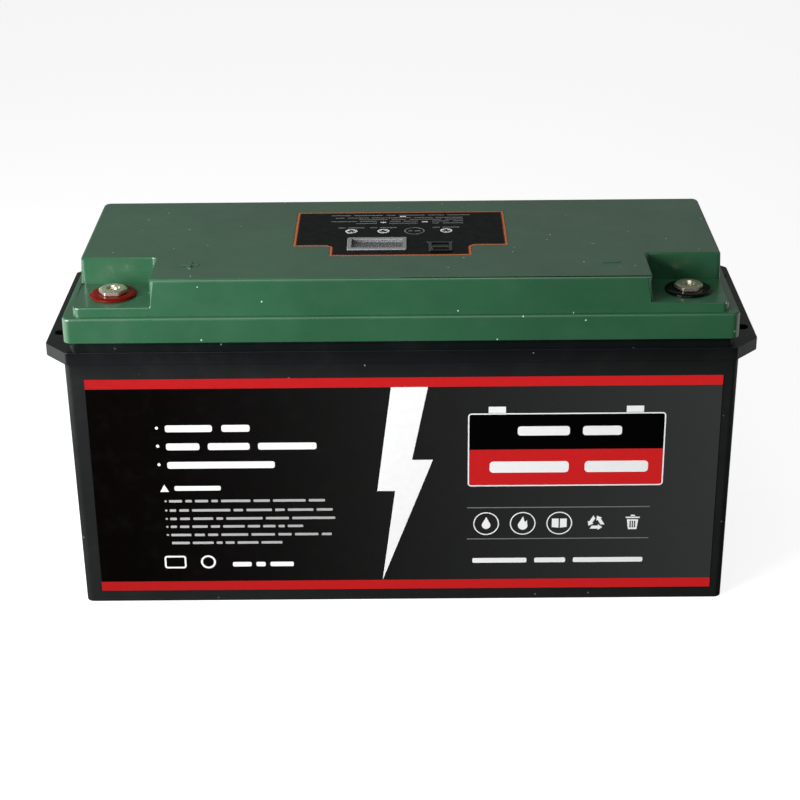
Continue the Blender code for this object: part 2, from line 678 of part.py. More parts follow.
def make_display(plastic, lens, liquid_crystal, board, lead):
    centre = (DISPLAY_X, DISPLAY_Y)
    flange_low = COVER_TOP - PANEL_DEPTH + LABEL_THICKNESS + 0.15 * MM
    bezel = extruded(
        "display_bezel",
        outline(rectangle(BEZEL_SIZE[0] / 2, BEZEL_SIZE[1] / 2, 1 * MM, centre), 0, 3),
        "Z", flange_low, BEZEL_TOP, plastic,
    )
    sleeve = outline(rectangle(SLEEVE_SIZE[0] / 2, SLEEVE_SIZE[1] / 2, 0.5 * MM, centre), 0, 2)
    join(bezel, extruded("bezel_sleeve", sleeve, "Z", SLEEVE_BOTTOM, flange_low + 0.5 * MM, plastic))
    window = outline(rectangle(WINDOW_SIZE[0] / 2, WINDOW_SIZE[1] / 2, 0.5 * MM, centre), 0, 2)
    inside = outline(rectangle(SLEEVE_INSIDE[0] / 2, SLEEVE_INSIDE[1] / 2, 0.4 * MM, centre), 0, 2)
    pocket_top = BEZEL_TOP - 1.2 * MM
    cut(
        bezel,
        extruded("bezel_window", window, "Z", SLEEVE_BOTTOM, BEZEL_TOP + MM, plastic),
        extruded("bezel_pocket", inside, "Z", SLEEVE_BOTTOM - MM, pocket_top, plastic),
    )
    half_x, half_y = SLEEVE_INSIDE[0] / 2 - GAP, SLEEVE_INSIDE[1] / 2 - GAP
    low = pocket_top
    layers = (
        ("display_lens", lens, LENS_THICKNESS),
        ("display_glass", liquid_crystal, GLASS_THICKNESS),
        ("display_board", board, BOARD_THICKNESS),
    )
    for name, material, thickness in layers:
        high = low - GAP
        low = high - thickness
        block(
            name,
            (DISPLAY_X - half_x, DISPLAY_Y - half_y, low),
            (DISPLAY_X + half_x, DISPLAY_Y + half_y, high),
            material,
        )
    start = Vector((DISPLAY_X, DISPLAY_Y, low - SIGNAL_CABLE_RADIUS - GAP))
    route = [
        start,
        start + Vector((0, 0, -4)) * MM,
        start + Vector((14, 8, -10)) * MM,
        start + Vector((60, 40, -20)) * MM,
        start + Vector((125, 50, -25)) * MM,
        Vector((130 * MM, 44 * MM, BMS_TOP + 24 * MM)),
        Vector((130 * MM, 44 * MM, BMS_TOP + 6 * MM)),
        Vector((130 * MM, 44 * MM, BMS_TOP + GAP)),
    ]
    cable("display_lead", route, SIGNAL_CABLE_RADIUS, lead)


def rocker_profile():
    """The rocker's side view in Y and Z round its pivot, level, with a dished top."""
    centre_height = 1.4 * MM
    end_height = 2.7 * MM
    bottom = -2.6 * MM
    arc_low = math.asin(bottom / ROCKER_RADIUS)
    arc_high = math.asin(end_height / ROCKER_RADIUS)
    steps = 5
    points = []
    for i in range(steps + 1):
        angle = arc_low + (arc_high - arc_low) * i / steps
        points.append(Vector((ROCKER_RADIUS * math.cos(angle), ROCKER_RADIUS * math.sin(angle))))
    points.append(Vector((0.0, centre_height)))
    return points + [Vector((-p.x, p.y)) for p in points[steps::-1]]


def make_switch(plastic, metal, lead):
    housing_top = BEZEL_TOP
    centre = (SWITCH_X, SWITCH_Y)
    flange_low = COVER_TOP - PANEL_DEPTH + LABEL_THICKNESS + 0.15 * MM
    bezel = outline(rectangle(SWITCH_BEZEL[0] / 2, SWITCH_BEZEL[1] / 2, 1 * MM, centre), 0, 3)
    housing = extruded("switch_housing", bezel, "Z", flange_low, housing_top, plastic)
    body = outline(rectangle(SWITCH_BODY[0] / 2, SWITCH_BODY[1] / 2, 0.5 * MM, centre), 0, 2)
    join(housing, extruded("switch_body", body, "Z", SWITCH_BOTTOM, flange_low + 0.5 * MM, plastic))
    mouth = outline(rectangle(SWITCH_MOUTH[0] / 2, SWITCH_MOUTH[1] / 2, 0.3 * MM, centre), 0, 2)
    floor = SWITCH_BOTTOM + 1.2 * MM
    cut(housing, extruded("switch_hollow", mouth, "Z", floor, housing_top + MM, plastic))
    pin_hole = [(p.x, p.y) for p in regular(1.25 * MM, 16)]
    reach = SWITCH_BODY[0] / 2 + MM
    cut(housing, extruded("pin_hole", pin_hole, "X", -reach, reach, plastic, (SWITCH_X, SWITCH_Y, PIVOT_Z)))
    pivot_y, front_y = SWITCH_Y, SWITCH_Y - 4.6 * MM
    tab_width, tab_thickness = 4.8 * MM, 0.8 * MM
    for name, y, top in (
        ("switch_tab_pivot", pivot_y, CONTACT_Z - 0.6 * MM),
        ("switch_tab_front", front_y, CONTACT_Z - 1.6 * MM),
    ):
        slot = rectangle(tab_width / 2 + 0.2 * MM, tab_thickness / 2 + 0.2 * MM, centre=(SWITCH_X, y))
        slot = outline(slot, 0, 1)
        cut(housing, extruded("tab_slot", slot, "Z", SWITCH_BOTTOM - MM, floor + MM, plastic))
        block(
            name,
            (SWITCH_X - tab_width / 2, y - tab_thickness / 2, SWITCH_BOTTOM - 8 * MM),
            (SWITCH_X + tab_width / 2, y + tab_thickness / 2, top),
            metal,
        )
    make_rocker(plastic)
    make_contact(metal)
    start = Vector((SWITCH_X, pivot_y, SWITCH_BOTTOM - 8 * MM - GAP))
    route = [
        start,
        start + Vector((0, 0, -4)) * MM,
        start + Vector((8, 6, -9)) * MM,
        start + Vector((30, 20, -14)) * MM,
        start + Vector((80, 30, -14)) * MM,
        Vector((134 * MM, 34 * MM, BMS_TOP + 24 * MM)),
        Vector((134 * MM, 34 * MM, BMS_TOP + 6 * MM)),
        Vector((134 * MM, 34 * MM, BMS_TOP + GAP)),
    ]
    cable("switch_lead", route, SIGNAL_CABLE_RADIUS, lead)


def make_rocker(material):
    """The rocker at rest, with its front end up. Its pins and plunger are one moulding with it."""
    pivot = (SWITCH_X, SWITCH_Y, PIVOT_Z)
    half = ROCKER_HALF_WIDTH
    rocker = extruded("switch_rocker", rocker_profile(), "X", -half, half, material, pivot)
    reach = SWITCH_BODY[0] / 2 - 0.1 * MM
    pin = [(p.x, p.y) for p in regular(1.0 * MM, 16)]
    pins = extruded("rocker_pins", pin, "X", -reach, reach, material, pivot)
    stem = loft(
        "rocker_plunger",
        [
            (regular(PLUNGER_RADIUS * 0.5, 12), -PLUNGER_LENGTH),
            (regular(PLUNGER_RADIUS, 12), -PLUNGER_LENGTH + PLUNGER_RADIUS * 0.6),
            (regular(PLUNGER_RADIUS, 12), 0.0),
        ],
        material,
        pivot,
    )
    for obj in (rocker, pins, stem):
        obj.rotation_euler.x = -ROCKER_TILT
    return join(rocker, pins, stem)


def make_contact(material):
    """The see-saw contact under the plunger, with its front end down."""
    half_x, half_y, half_z = 1.8 * MM, 5.0 * MM, 0.25 * MM
    contact = block("switch_contact", (-half_x, -half_y, -half_z), (half_x, half_y, half_z), material)
    contact.location = (SWITCH_X, SWITCH_Y, CONTACT_Z)
    contact.rotation_euler.x = CONTACT_TILT
    return contact


# The cell pack.


def cell_x(index):
    return (index - (CELL_COUNT - 1) / 2) * CELL_PITCH


def make_cell(index, film):
    """A prismatic cell: its can, and a seat and a stud at each end of its lid."""
    x = cell_x(index)
    half_x, half_y = CELL_SIZE[0] / 2, CELL_SIZE[1] / 2
    can = rectangle(half_x, half_y, 3 * MM)
    cell = loft(
        f"cell_{index + 1}",
        [
            (outline(can, 1 * MM, 3), CELL_BOTTOM),
            (outline(can, 0, 3), CELL_BOTTOM + MM),
            (outline(can, 0, 3), CELL_TOP - MM),
            (outline(can, 1 * MM, 3), CELL_TOP),
        ],
        film,
        (x, 0, 0),
    )
    for y in (-STUD_Y, STUD_Y):
        stud = loft(
            "cell_stud",
            [
                (regular(SEAT_RADIUS, 16), CELL_TOP - MM),
                (regular(SEAT_RADIUS, 16), CELL_TOP + SEAT_HEIGHT),
                (regular(STUD_RADIUS, 16), CELL_TOP + SEAT_HEIGHT),
                (regular(STUD_RADIUS, 16), CELL_TOP + STUD_HEIGHT),
            ],
            film,
            (x, y, 0),
        )
        join(cell, stud)
    low, high = CELL_TOP - MM, CELL_TOP + VENT_HEIGHT
    return join(cell, extruded("cell_vent", regular(7 * MM, 16), "Z", low, high, film, (x, 0, 0)))


def make_link(index, material):
    """The bar that joins a cell to the next, on alternate sides of the pack."""
    y = STUD_Y if index % 2 == 0 else -STUD_Y
    middle = (cell_x(index) + cell_x(index + 1)) / 2
    half_length = CELL_PITCH / 2 + 8 * MM
    points = outline(rectangle(half_length, LINK_WIDTH / 2, 4 * MM, (middle, y)), 0, 3)
    high = LINK_BOTTOM + LINK_THICKNESS
    link = extruded(f"series_link_{index + 1}", points, "Z", LINK_BOTTOM, high, material)
    for x in (cell_x(index), cell_x(index + 1)):
        hole = regular(STUD_RADIUS + 0.4 * MM, 16)
        cut(link, extruded("link_hole", hole, "Z", LINK_BOTTOM - MM, high + MM, material, (x, y, 0)))
    return link


def make_strap(name, height, material):
    """A flat band round the cells and the end plates."""
    half_x = cell_x(CELL_COUNT - 1) + CELL_SIZE[0] / 2 + END_PLATE_THICKNESS + 2 * GAP
    half_y = CELL_SIZE[1] / 2 + GAP
    outer = (2 * (half_x + STRAP_THICKNESS), 2 * (half_y + STRAP_THICKNESS))
    inner = (2 * half_x, 2 * half_y)
    low, high = height - STRAP_WIDTH / 2, height + STRAP_WIDTH / 2
    return frame_wall(name, outer, inner, low, high, (0, 0), material)


def make_pack(materials):
    for i in range(CELL_COUNT):
        make_cell(i, materials["film"])
        for y in (-STUD_Y, STUD_Y):
            side = "front" if y < 0 else "back"
            low = LINK_BOTTOM + LINK_THICKNESS + GAP
            at = (cell_x(i), y, 0)
            bore = STUD_RADIUS + 0.3 * MM
            high = low + CELL_NUT_HEIGHT
            make_nut(f"cell_nut_{i + 1}_{side}", at, CELL_NUT_FLATS, low, high, bore, materials["steel"])
    half_y = CELL_SIZE[1] / 2
    for i in range(CELL_COUNT - 1):
        make_link(i, materials["copper"])
        x = cell_x(i) + CELL_PITCH / 2
        half = SPACER_THICKNESS / 2
        low, high = CELL_BOTTOM + 2 * MM, CELL_TOP - 3 * MM
        start, end = (x - half, -half_y, low), (x + half, half_y, high)
        block(f"cell_spacer_{i + 1}", start, end, materials["board"])
    inner = cell_x(CELL_COUNT - 1) + CELL_SIZE[0] / 2 + GAP
    outer = inner + END_PLATE_THICKNESS
    low, high = CELL_BOTTOM, CELL_TOP - MM
    block("end_plate_left", (-outer, -half_y, low), (-inner, half_y, high), materials["board"], MM)
    block("end_plate_right", (inner, -half_y, low), (outer, half_y, high), materials["board"], MM)
    for name, height in zip(("pack_strap_lower", "pack_strap_upper"), STRAP_HEIGHTS):
        make_strap(name, height, materials["strap"])
    board_top = BOARD_BOTTOM + BOARD_THICKNESS
    half_x = outer - 2 * MM
    low, high = (-half_x, -BOARD_HALF_Y, BOARD_BOTTOM), (half_x, BOARD_HALF_Y, board_top)
    block("sensing_board", low, high, materials["board"])
    return outer + STRAP_THICKNESS + 2 * GAP


def make_packing(pack_end, bms_end, material):
    """The foam under the cells and at both ends of the tub."""
    clear = 0.6 * MM
    half_x, half_y = BASE_HALF_X - WALL - clear, BASE_HALF_Y - WALL - clear
    base_top = WALL + GAP + BASE_PAD_THICKNESS
    block("base_pad", (-half_x, -half_y, WALL + GAP), (half_x, half_y, base_top), material, MM)
    low, high = CELL_BOTTOM, FLANGE_BOTTOM - 10 * MM
    block("end_foam_left", (-half_x, -half_y, low), (-pack_end, half_y, high), material, 3 * MM)
    block("end_foam_right", (bms_end, -half_y, low), (half_x, half_y, high), material, 3 * MM)


def make_management_unit(start, metal, plastic):
    """The heatsink with its fins, and the unit's case on it. It returns where the unit ends."""
    fins = 8
    back = start + HEATSINK_THICKNESS
    heatsink = block(
        "bms_heatsink",
        (start + 2.5 * MM, -BMS_HALF_Y, BMS_BOTTOM), (back, BMS_HALF_Y, BMS_TOP), metal, 0.5 * MM,
    )
    for i in range(fins):
        y = BMS_HALF_Y * 0.94 * (2 * i / (fins - 1) - 1)
        low = (start, y - 1.5 * MM, BMS_BOTTOM + 2 * MM)
        high = (start + 3.5 * MM, y + 1.5 * MM, BMS_TOP - 2 * MM)
        join(heatsink, block("heatsink_fin", low, high, metal))
    low = (back + GAP, -BMS_HALF_Y, BMS_BOTTOM)
    high = (back + GAP + BMS_THICKNESS, BMS_HALF_Y, BMS_TOP)
    block("bms_case", low, high, plastic, 2 * MM)
    return high[0] + GAP


def make_main_cables(red, black, blue, lug_metal):
    """The heavy leads: cell to positive post, cell to unit, and unit to negative post."""
    under = RECESS_FLOOR - COVER_WALL - GAP
    post_lug_low = under - WASHER_THICKNESS - GAP - LUG_THICKNESS
    first, last = cell_x(0), cell_x(CELL_COUNT - 1)
    stud_y = -STUD_Y
    for name, x, toward in (("pack_lug_positive", first, -1), ("pack_lug_negative", last, 1)):
        make_lug(name, (x, stud_y, 0), toward, 1, LINK_BOTTOM, STUD_RADIUS, lug_metal)
    start = lug_mouth(first, stud_y, -1, 1, LINK_BOTTOM, STUD_RADIUS)
    end = lug_mouth(-TERMINAL_X, TERMINAL_Y, 1, -1, post_lug_low, SHANK_RADIUS)
    rise = [
        start,
        start + Vector((-10, 0, 0)) * MM,
        start + Vector((-24, -1, 8)) * MM,
        end + Vector((22, 2, -8)) * MM,
        end + Vector((8, 0, 0)) * MM,
        end,
    ]
    cable("positive_cable", rise, MAIN_CABLE_RADIUS, red, 3)
    start = lug_mouth(last, stud_y, 1, 1, LINK_BOTTOM, STUD_RADIUS)
    foot = Vector((128 * MM, -20 * MM, BMS_TOP + GAP))
    drop = [
        start,
        start + Vector((9, 0, 0)) * MM,
        start + Vector((22, 8, -1)) * MM,
        foot + Vector((0, -4, 16)) * MM,
        foot + Vector((0, 0, 5)) * MM,
        foot,
    ]
    cable("bms_cable", drop, MAIN_CABLE_RADIUS, blue, 3)
    foot = Vector((128 * MM, 8 * MM, BMS_TOP + GAP))
    end = lug_mouth(TERMINAL_X, TERMINAL_Y, -1, -1, post_lug_low, SHANK_RADIUS)
    climb = [
        foot,
        foot + Vector((0, 0, 18)) * MM,
        foot + Vector((6, -14, 40)) * MM,
        end + Vector((-22, 10, -3)) * MM,
        end + Vector((-8, 0, 0)) * MM,
        end,
    ]
    cable("negative_cable", climb, MAIN_CABLE_RADIUS, black, 3)


def make_sensing_ribbon(material):
    """The flat ribbon from the sensing board's edge down to the management unit."""
    thickness, half_y, centre_y = 1.2 * MM, 6 * MM, 20 * MM
    top = BOARD_BOTTOM + BOARD_THICKNESS + GAP
    path = [
        Vector((100, top / MM)), Vector((116, top / MM)), Vector((126, top / MM - 4)),
        Vector((130, top / MM - 12)), Vector((130, BMS_TOP / MM + 0.3)),
    ]
    outer = [p * MM for p in path]
    inner = []
    for i, point in enumerate(outer):
        ahead = outer[min(i + 1, len(outer) - 1)] - outer[max(i - 1, 0)]
        normal = Vector((-ahead.y, ahead.x)).normalized()
        inner.append(point + normal * thickness)
    bm = bmesh.new()
    face = bm.faces.new([bm.verts.new((p.x, centre_y - half_y, p.y)) for p in outer + inner[::-1]])
    raised = bmesh.ops.extrude_face_region(bm, geom=[face])["geom"]
    moved = [v for v in raised if isinstance(v, bmesh.types.BMVert)]
    bmesh.ops.translate(bm, verts=moved, vec=(0, 2 * half_y, 0))
    return finish_object("sensing_ribbon", bm, material)


def make_seal(material):
    clear = 0.25 * MM
    low = RIM_TOP - SEAL_DEPTH + clear
    return ring_wall("lid_seal", SEAL_INSET + clear, SEAL_WIDTH - 2 * clear, low, RIM_TOP, material)


def main():
    clear_scene()
    black = make_material("case_black", (0.02, 0.021, 0.022), 0.35)
    green = make_material("cover_green", (0.045, 0.16, 0.085), 0.25)
    red = make_material("signal_red", (0.5, 0.01, 0.01), 0.3)
    print_black = make_material("label_print", (0.015, 0.016, 0.017), 0.3)
    steel = make_material("plated_steel", (0.7, 0.68, 0.62), 0.25, 1.0)
    copper = make_material("tinned_copper", (0.72, 0.6, 0.5), 0.3, 1.0)
    rubber = make_material("rubber", (0.03, 0.03, 0.03), 0.8)
    grey = make_material("bezel_grey", (0.4, 0.42, 0.45), 0.4)
    glass = make_material("display_glass", (0.2, 0.24, 0.24), 0.1)
    board = make_material("glass_fibre_board", (0.12, 0.3, 0.16), 0.5)
    film = make_material("cell_film", (0.03, 0.12, 0.4), 0.35)
    strap = make_material("strap", (0.05, 0.25, 0.1), 0.4)
    foam = make_material("foam", (0.06, 0.06, 0.065), 0.9)
    blue = make_material("cable_blue", (0.02, 0.05, 0.4), 0.4)
    aluminium = make_material("aluminium", (0.6, 0.62, 0.64), 0.35, 1.0)

    make_container(black)
    make_cover(green)
    make_seal(rubber)
    make_front_label(print_black)
    make_top_label(print_black)
    make_terminal(-1, "positive", red, steel, rubber)
    make_terminal(1, "negative", black, steel, rubber)
    make_display(grey, glass, glass, board, black)
    make_switch(black, copper, black)
    pack_materials = {"film": film, "steel": steel, "copper": copper, "board": board, "strap": strap}
    pack_end = make_pack(pack_materials)
    bms_end = make_management_unit(pack_end, aluminium, black)
    make_packing(pack_end, bms_end, foam)
    make_main_cables(red, black, blue, copper)
    make_sensing_ribbon(grey)


main()
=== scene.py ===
"""The look of a deep cycle battery: case, cover, printed labels, terminals, display and switch."""

import json
import math

import bmesh
import bpy
from mathutils import Matrix, Vector


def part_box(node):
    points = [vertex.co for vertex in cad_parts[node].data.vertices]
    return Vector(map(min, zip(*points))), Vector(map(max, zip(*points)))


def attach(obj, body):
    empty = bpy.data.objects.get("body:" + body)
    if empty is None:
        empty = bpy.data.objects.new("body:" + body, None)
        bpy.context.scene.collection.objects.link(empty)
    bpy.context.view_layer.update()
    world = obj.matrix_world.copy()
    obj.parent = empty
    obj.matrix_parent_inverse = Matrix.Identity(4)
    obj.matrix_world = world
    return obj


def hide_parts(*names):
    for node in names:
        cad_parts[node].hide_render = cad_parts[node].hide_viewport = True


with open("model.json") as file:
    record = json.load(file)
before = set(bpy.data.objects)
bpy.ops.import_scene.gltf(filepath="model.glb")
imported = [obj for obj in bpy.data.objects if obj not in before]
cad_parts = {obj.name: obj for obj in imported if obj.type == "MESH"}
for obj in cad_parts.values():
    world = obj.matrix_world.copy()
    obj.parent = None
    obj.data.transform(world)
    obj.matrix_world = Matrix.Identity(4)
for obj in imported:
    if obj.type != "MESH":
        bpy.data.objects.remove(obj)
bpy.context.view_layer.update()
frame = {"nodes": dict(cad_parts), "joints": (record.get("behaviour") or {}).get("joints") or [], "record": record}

MM = 0.001
NEAR = 0.1 * MM  # how close to a face an edge has to lie to be picked with it
CASE_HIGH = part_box("container")[1]
COVER_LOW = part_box("cover")[0]
LABEL_LOW, LABEL_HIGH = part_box("front_label")
PANEL_LOW, PANEL_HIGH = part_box("top_label")
BEZEL_LOW, BEZEL_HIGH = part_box("display_bezel")
LENS_LOW, LENS_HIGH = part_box("display_lens")
HOUSING_LOW, HOUSING_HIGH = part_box("switch_housing")

# Case and cover.
BASE_HALF = Vector((226.8, 85.1)) * MM
TUB_TOP_HALF = Vector((228.1, 85.4)) * MM
FLANGE_BOTTOM, FLANGE_TOP = 184.8 * MM, 193.8 * MM
RIM_HALF = Vector((224.0, 84.6)) * MM
EAR_CHAMFER = Vector((16.4, 18.2)) * MM
ROPE_HOLE = Vector((234.5, 48.7)) * MM
ROPE_HOLE_RADIUS = 4.6 * MM
MOUTH_HALF = Vector((219.1, 79.9)) * MM
SKIRT_BOTTOM, SKIRT_TOP = 200.1 * MM, 218.1 * MM
SKIRT_HALF = Vector((227.5, 85.3)) * MM
BLOCK_HALF = Vector((220.2, 81.4)) * MM
BLOCK_TOP = 243.8 * MM
DRAFT = 0.5 * MM
RECESS_FLOOR = 224.4 * MM
RECESS_X, RECESS_Y = 167.5 * MM, -36.2 * MM
COVER_WALL, CASE_WALL = 3.5 * MM, 4.0 * MM
MARK_X, MARK_Y = 142.5 * MM, -53.3 * MM

# Terminals.
POST_LOW, POST_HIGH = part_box("terminal_post_positive")
POST_Y = (POST_LOW.y + POST_HIGH.y) / 2
POST_X = -(POST_LOW.x + POST_HIGH.x) / 2
POST_TOP = POST_HIGH.z

# Panel on the cover.
STEP_X, STEP_Y = 49.2 * MM, -17.2 * MM
PANEL_FLOOR = BLOCK_TOP - 0.5 * MM

# Labels.
PANEL_GAP = 0.3 * MM  # how far the panel's shallow recess reaches past its label
SHEET = 0.3 * MM  # the thickness of a label
INK = 0.05 * MM  # the thickness of print
PRINT_RISE = 2.5 * MM  # the height above the base from which the front's print is drawn
LABEL_SHIFT = 1.5 * MM  # how far the front label sits to the right of the solid one
LOWER_BAND, UPPER_BAND = 13.8, 164.2  # the inner edges of the front's two red bands, in millimetres
SYMBOLS_X = (-34.9, -12.2, 32.4)  # the middles of the panel's round symbols, in millimetres

ACROSS = (0, math.pi / 2, 0)  # the turn that lays a drum along X


# Modelling tools.


def mm(*numbers):
    """Millimetres as metres."""
    return tuple(number * MM for number in numbers)


def each_way(width):
    """The same width along X and along Y."""
    return Vector((width, width))


def only(obj):
    """Makes obj the only one selected, and active."""
    bpy.ops.object.select_all(action="DESELECT")
    obj.select_set(True)
    bpy.context.view_layer.objects.active = obj


def settle(name):
    """Names the new primitive, the only one selected, and moves its place and size into its mesh."""
    obj = bpy.context.active_object
    obj.name = obj.data.name = name
    bpy.ops.object.transform_apply()
    return obj


def block(name, low, high):
    """A block between two corners."""
    low, high = Vector(low), Vector(high)
    bpy.ops.mesh.primitive_cube_add(size=1, location=(low + high) / 2, scale=high - low)
    return settle(name)


def slab(name, half, low, high, centre=Vector((0, 0))):
    """A block between two heights, with a half size each way from its centre."""
    low_corner = (centre.x - half.x, centre.y - half.y, low)
    high_corner = (centre.x + half.x, centre.y + half.y, high)
    return block(name, low_corner, high_corner)


def drum(name, centre, radius, depth, sides=64, turn=(0, 0, 0)):
    bpy.ops.mesh.primitive_cylinder_add(
        vertices=sides, radius=radius, depth=depth, location=centre, rotation=turn
    )
    return settle(name)


def edit(obj):
    only(obj)
    bpy.ops.object.mode_set(mode="EDIT")
    bpy.ops.mesh.select_all(action="DESELECT")


def leave():
    bpy.ops.object.mode_set(mode="OBJECT")


def pick(kind, test):
    """Selects the faces, edges or corners whose place and direction pass the test."""
    bpy.ops.mesh.select_mode(type=kind)
    bpy.ops.mesh.select_all(action="DESELECT")
    mesh = bpy.context.active_object.data
    shape = bmesh.from_edit_mesh(mesh)
    if kind == "FACE":
        for face in shape.faces:
            face.select_set(bool(test(face.calc_center_median(), face.normal)))
    elif kind == "EDGE":
        for edge in shape.edges:
            start, end = (vert.co for vert in edge.verts)
            edge.select_set(bool(test((start + end) / 2, (end - start).normalized())))
    else:
        for vert in shape.verts:
            vert.select_set(bool(test(vert.co, vert.normal)))
    shape.select_flush_mode()
    bmesh.update_edit_mesh(mesh)


def pick_all():
    bpy.ops.mesh.select_all(action="SELECT")


def pick_top():
    """Selects the faces that look up."""
    pick("FACE", lambda centre, normal: normal.z > 0.9)


def apply(obj, modifier):
    only(obj)
    bpy.ops.object.modifier_apply(modifier=modifier.name)
    return obj


def carve(obj, *tools, how="DIFFERENCE"):
    """Cuts the tools from obj, or joins them to it, and removes them."""
    for tool in tools:
        modifier = obj.modifiers.new(how, "BOOLEAN")
        modifier.operation = how
        modifier.object = tool
        apply(obj, modifier)
        bpy.data.objects.remove(tool)
    return obj


def round_edges(obj, test, radius, segments=6):
    """Rounds the edges that pass the test."""
    edit(obj)
    pick("EDGE", test)
    bpy.ops.mesh.bevel(offset=radius, segments=segments, affect="EDGES")
    leave()


def upright(where=lambda middle: True):
    """A test for edges that run up the part, drafted or not."""
    return lambda middle, along: abs(along.z) > 0.9 and where(middle)


def above(height):
    """A test for edges above a height."""
    return lambda middle, along: middle.z > height


def below(height):
    """A test for edges below a height."""
    return lambda middle, along: middle.z < height


def soften(obj, width, segments=3, angle=40):
    """Rounds every edge that is sharper than the angle."""
    modifier = obj.modifiers.new("Soften", "BEVEL")
    modifier.width = width
    modifier.segments = segments
    modifier.limit_method = "ANGLE"
    modifier.angle_limit = math.radians(angle)
    return apply(obj, modifier)


def shade(obj):
    """Smooth shading with flat faces kept flat."""
    only(obj)
    bpy.ops.object.shade_smooth_by_angle(angle=math.radians(32))
    modifier = obj.modifiers.new("Weighted", "WEIGHTED_NORMAL")
    modifier.keep_sharp = True
    modifier.weight = 80
    return apply(obj, modifier)


def turned(name, centre, profile, sides=96, bore=False):
    """A body turned about Z, extruded one step at a time through (radius, height) points.

    With a bore, the profile is a closed loop round an open middle.
    """
    x, y, z = centre
    radius, height = profile[0]
    bpy.ops.mesh.primitive_circle_add(vertices=sides, radius=radius, location=(x, y, z + height))
    obj = settle(name)
    edit(obj)
    bpy.ops.mesh.select_mode(type="EDGE")
    pick_all()
    for wider, higher in profile[1:] + (profile[:1] if bore else []):
        bpy.ops.mesh.extrude_region_move(TRANSFORM_OT_translate={"value": (0, 0, higher - height)})
        grow = wider / radius
        bpy.ops.transform.resize(value=(grow, grow, 1), center_override=(x, y, z + higher))
        radius, height = wider, higher
    pick_all()
    bpy.ops.mesh.remove_doubles(threshold=0.001 * MM)
    if not bore:
        bpy.ops.mesh.fill_holes(sides=0)
    bpy.ops.mesh.normals_make_consistent(inside=False)
    leave()
    return obj


def join(name, objects):
    """Joins flat print of one colour into one piece."""
    only(objects[0])
    for obj in objects[1:]:
        obj.select_set(True)
    bpy.ops.object.join()
    joined = bpy.context.active_object
    joined.name = joined.data.name = name
    return joined


def place(obj, turn=(0, 0, 0), move=(0, 0, 0)):
    """Turns and moves the shape itself, and leaves its object at the origin."""
    only(obj)
    obj.rotation_euler = turn
    obj.location = move
    bpy.ops.object.transform_apply()
    return obj


def finish_piece(obj, finish, slot, *nodes, body="root"):
    """Gives a piece its finish and its body, and hides the CAD nodes that it stands for. Its slot is not used."""
    obj.data.materials.clear()
    obj.data.materials.append(FINISHES[finish])
    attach(obj, body)
    if nodes:
        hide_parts(*nodes)


# Material tools.


class Value:
    """A number in a material. Arithmetic on it adds Math nodes."""

    def __init__(self, paint, socket):
        self.paint = paint
        self.socket = socket

    def math(self, operation, *values):
        inputs = dict(enumerate(values))
        return self.paint.add("ShaderNodeMath", {"operation": operation}, inputs)

    def __add__(self, other):
        return self.math("ADD", self, other)

    def __mul__(self, other):
        return self.math("MULTIPLY", self, other)

    def __pow__(self, power):
        return self.math("POWER", self, power)


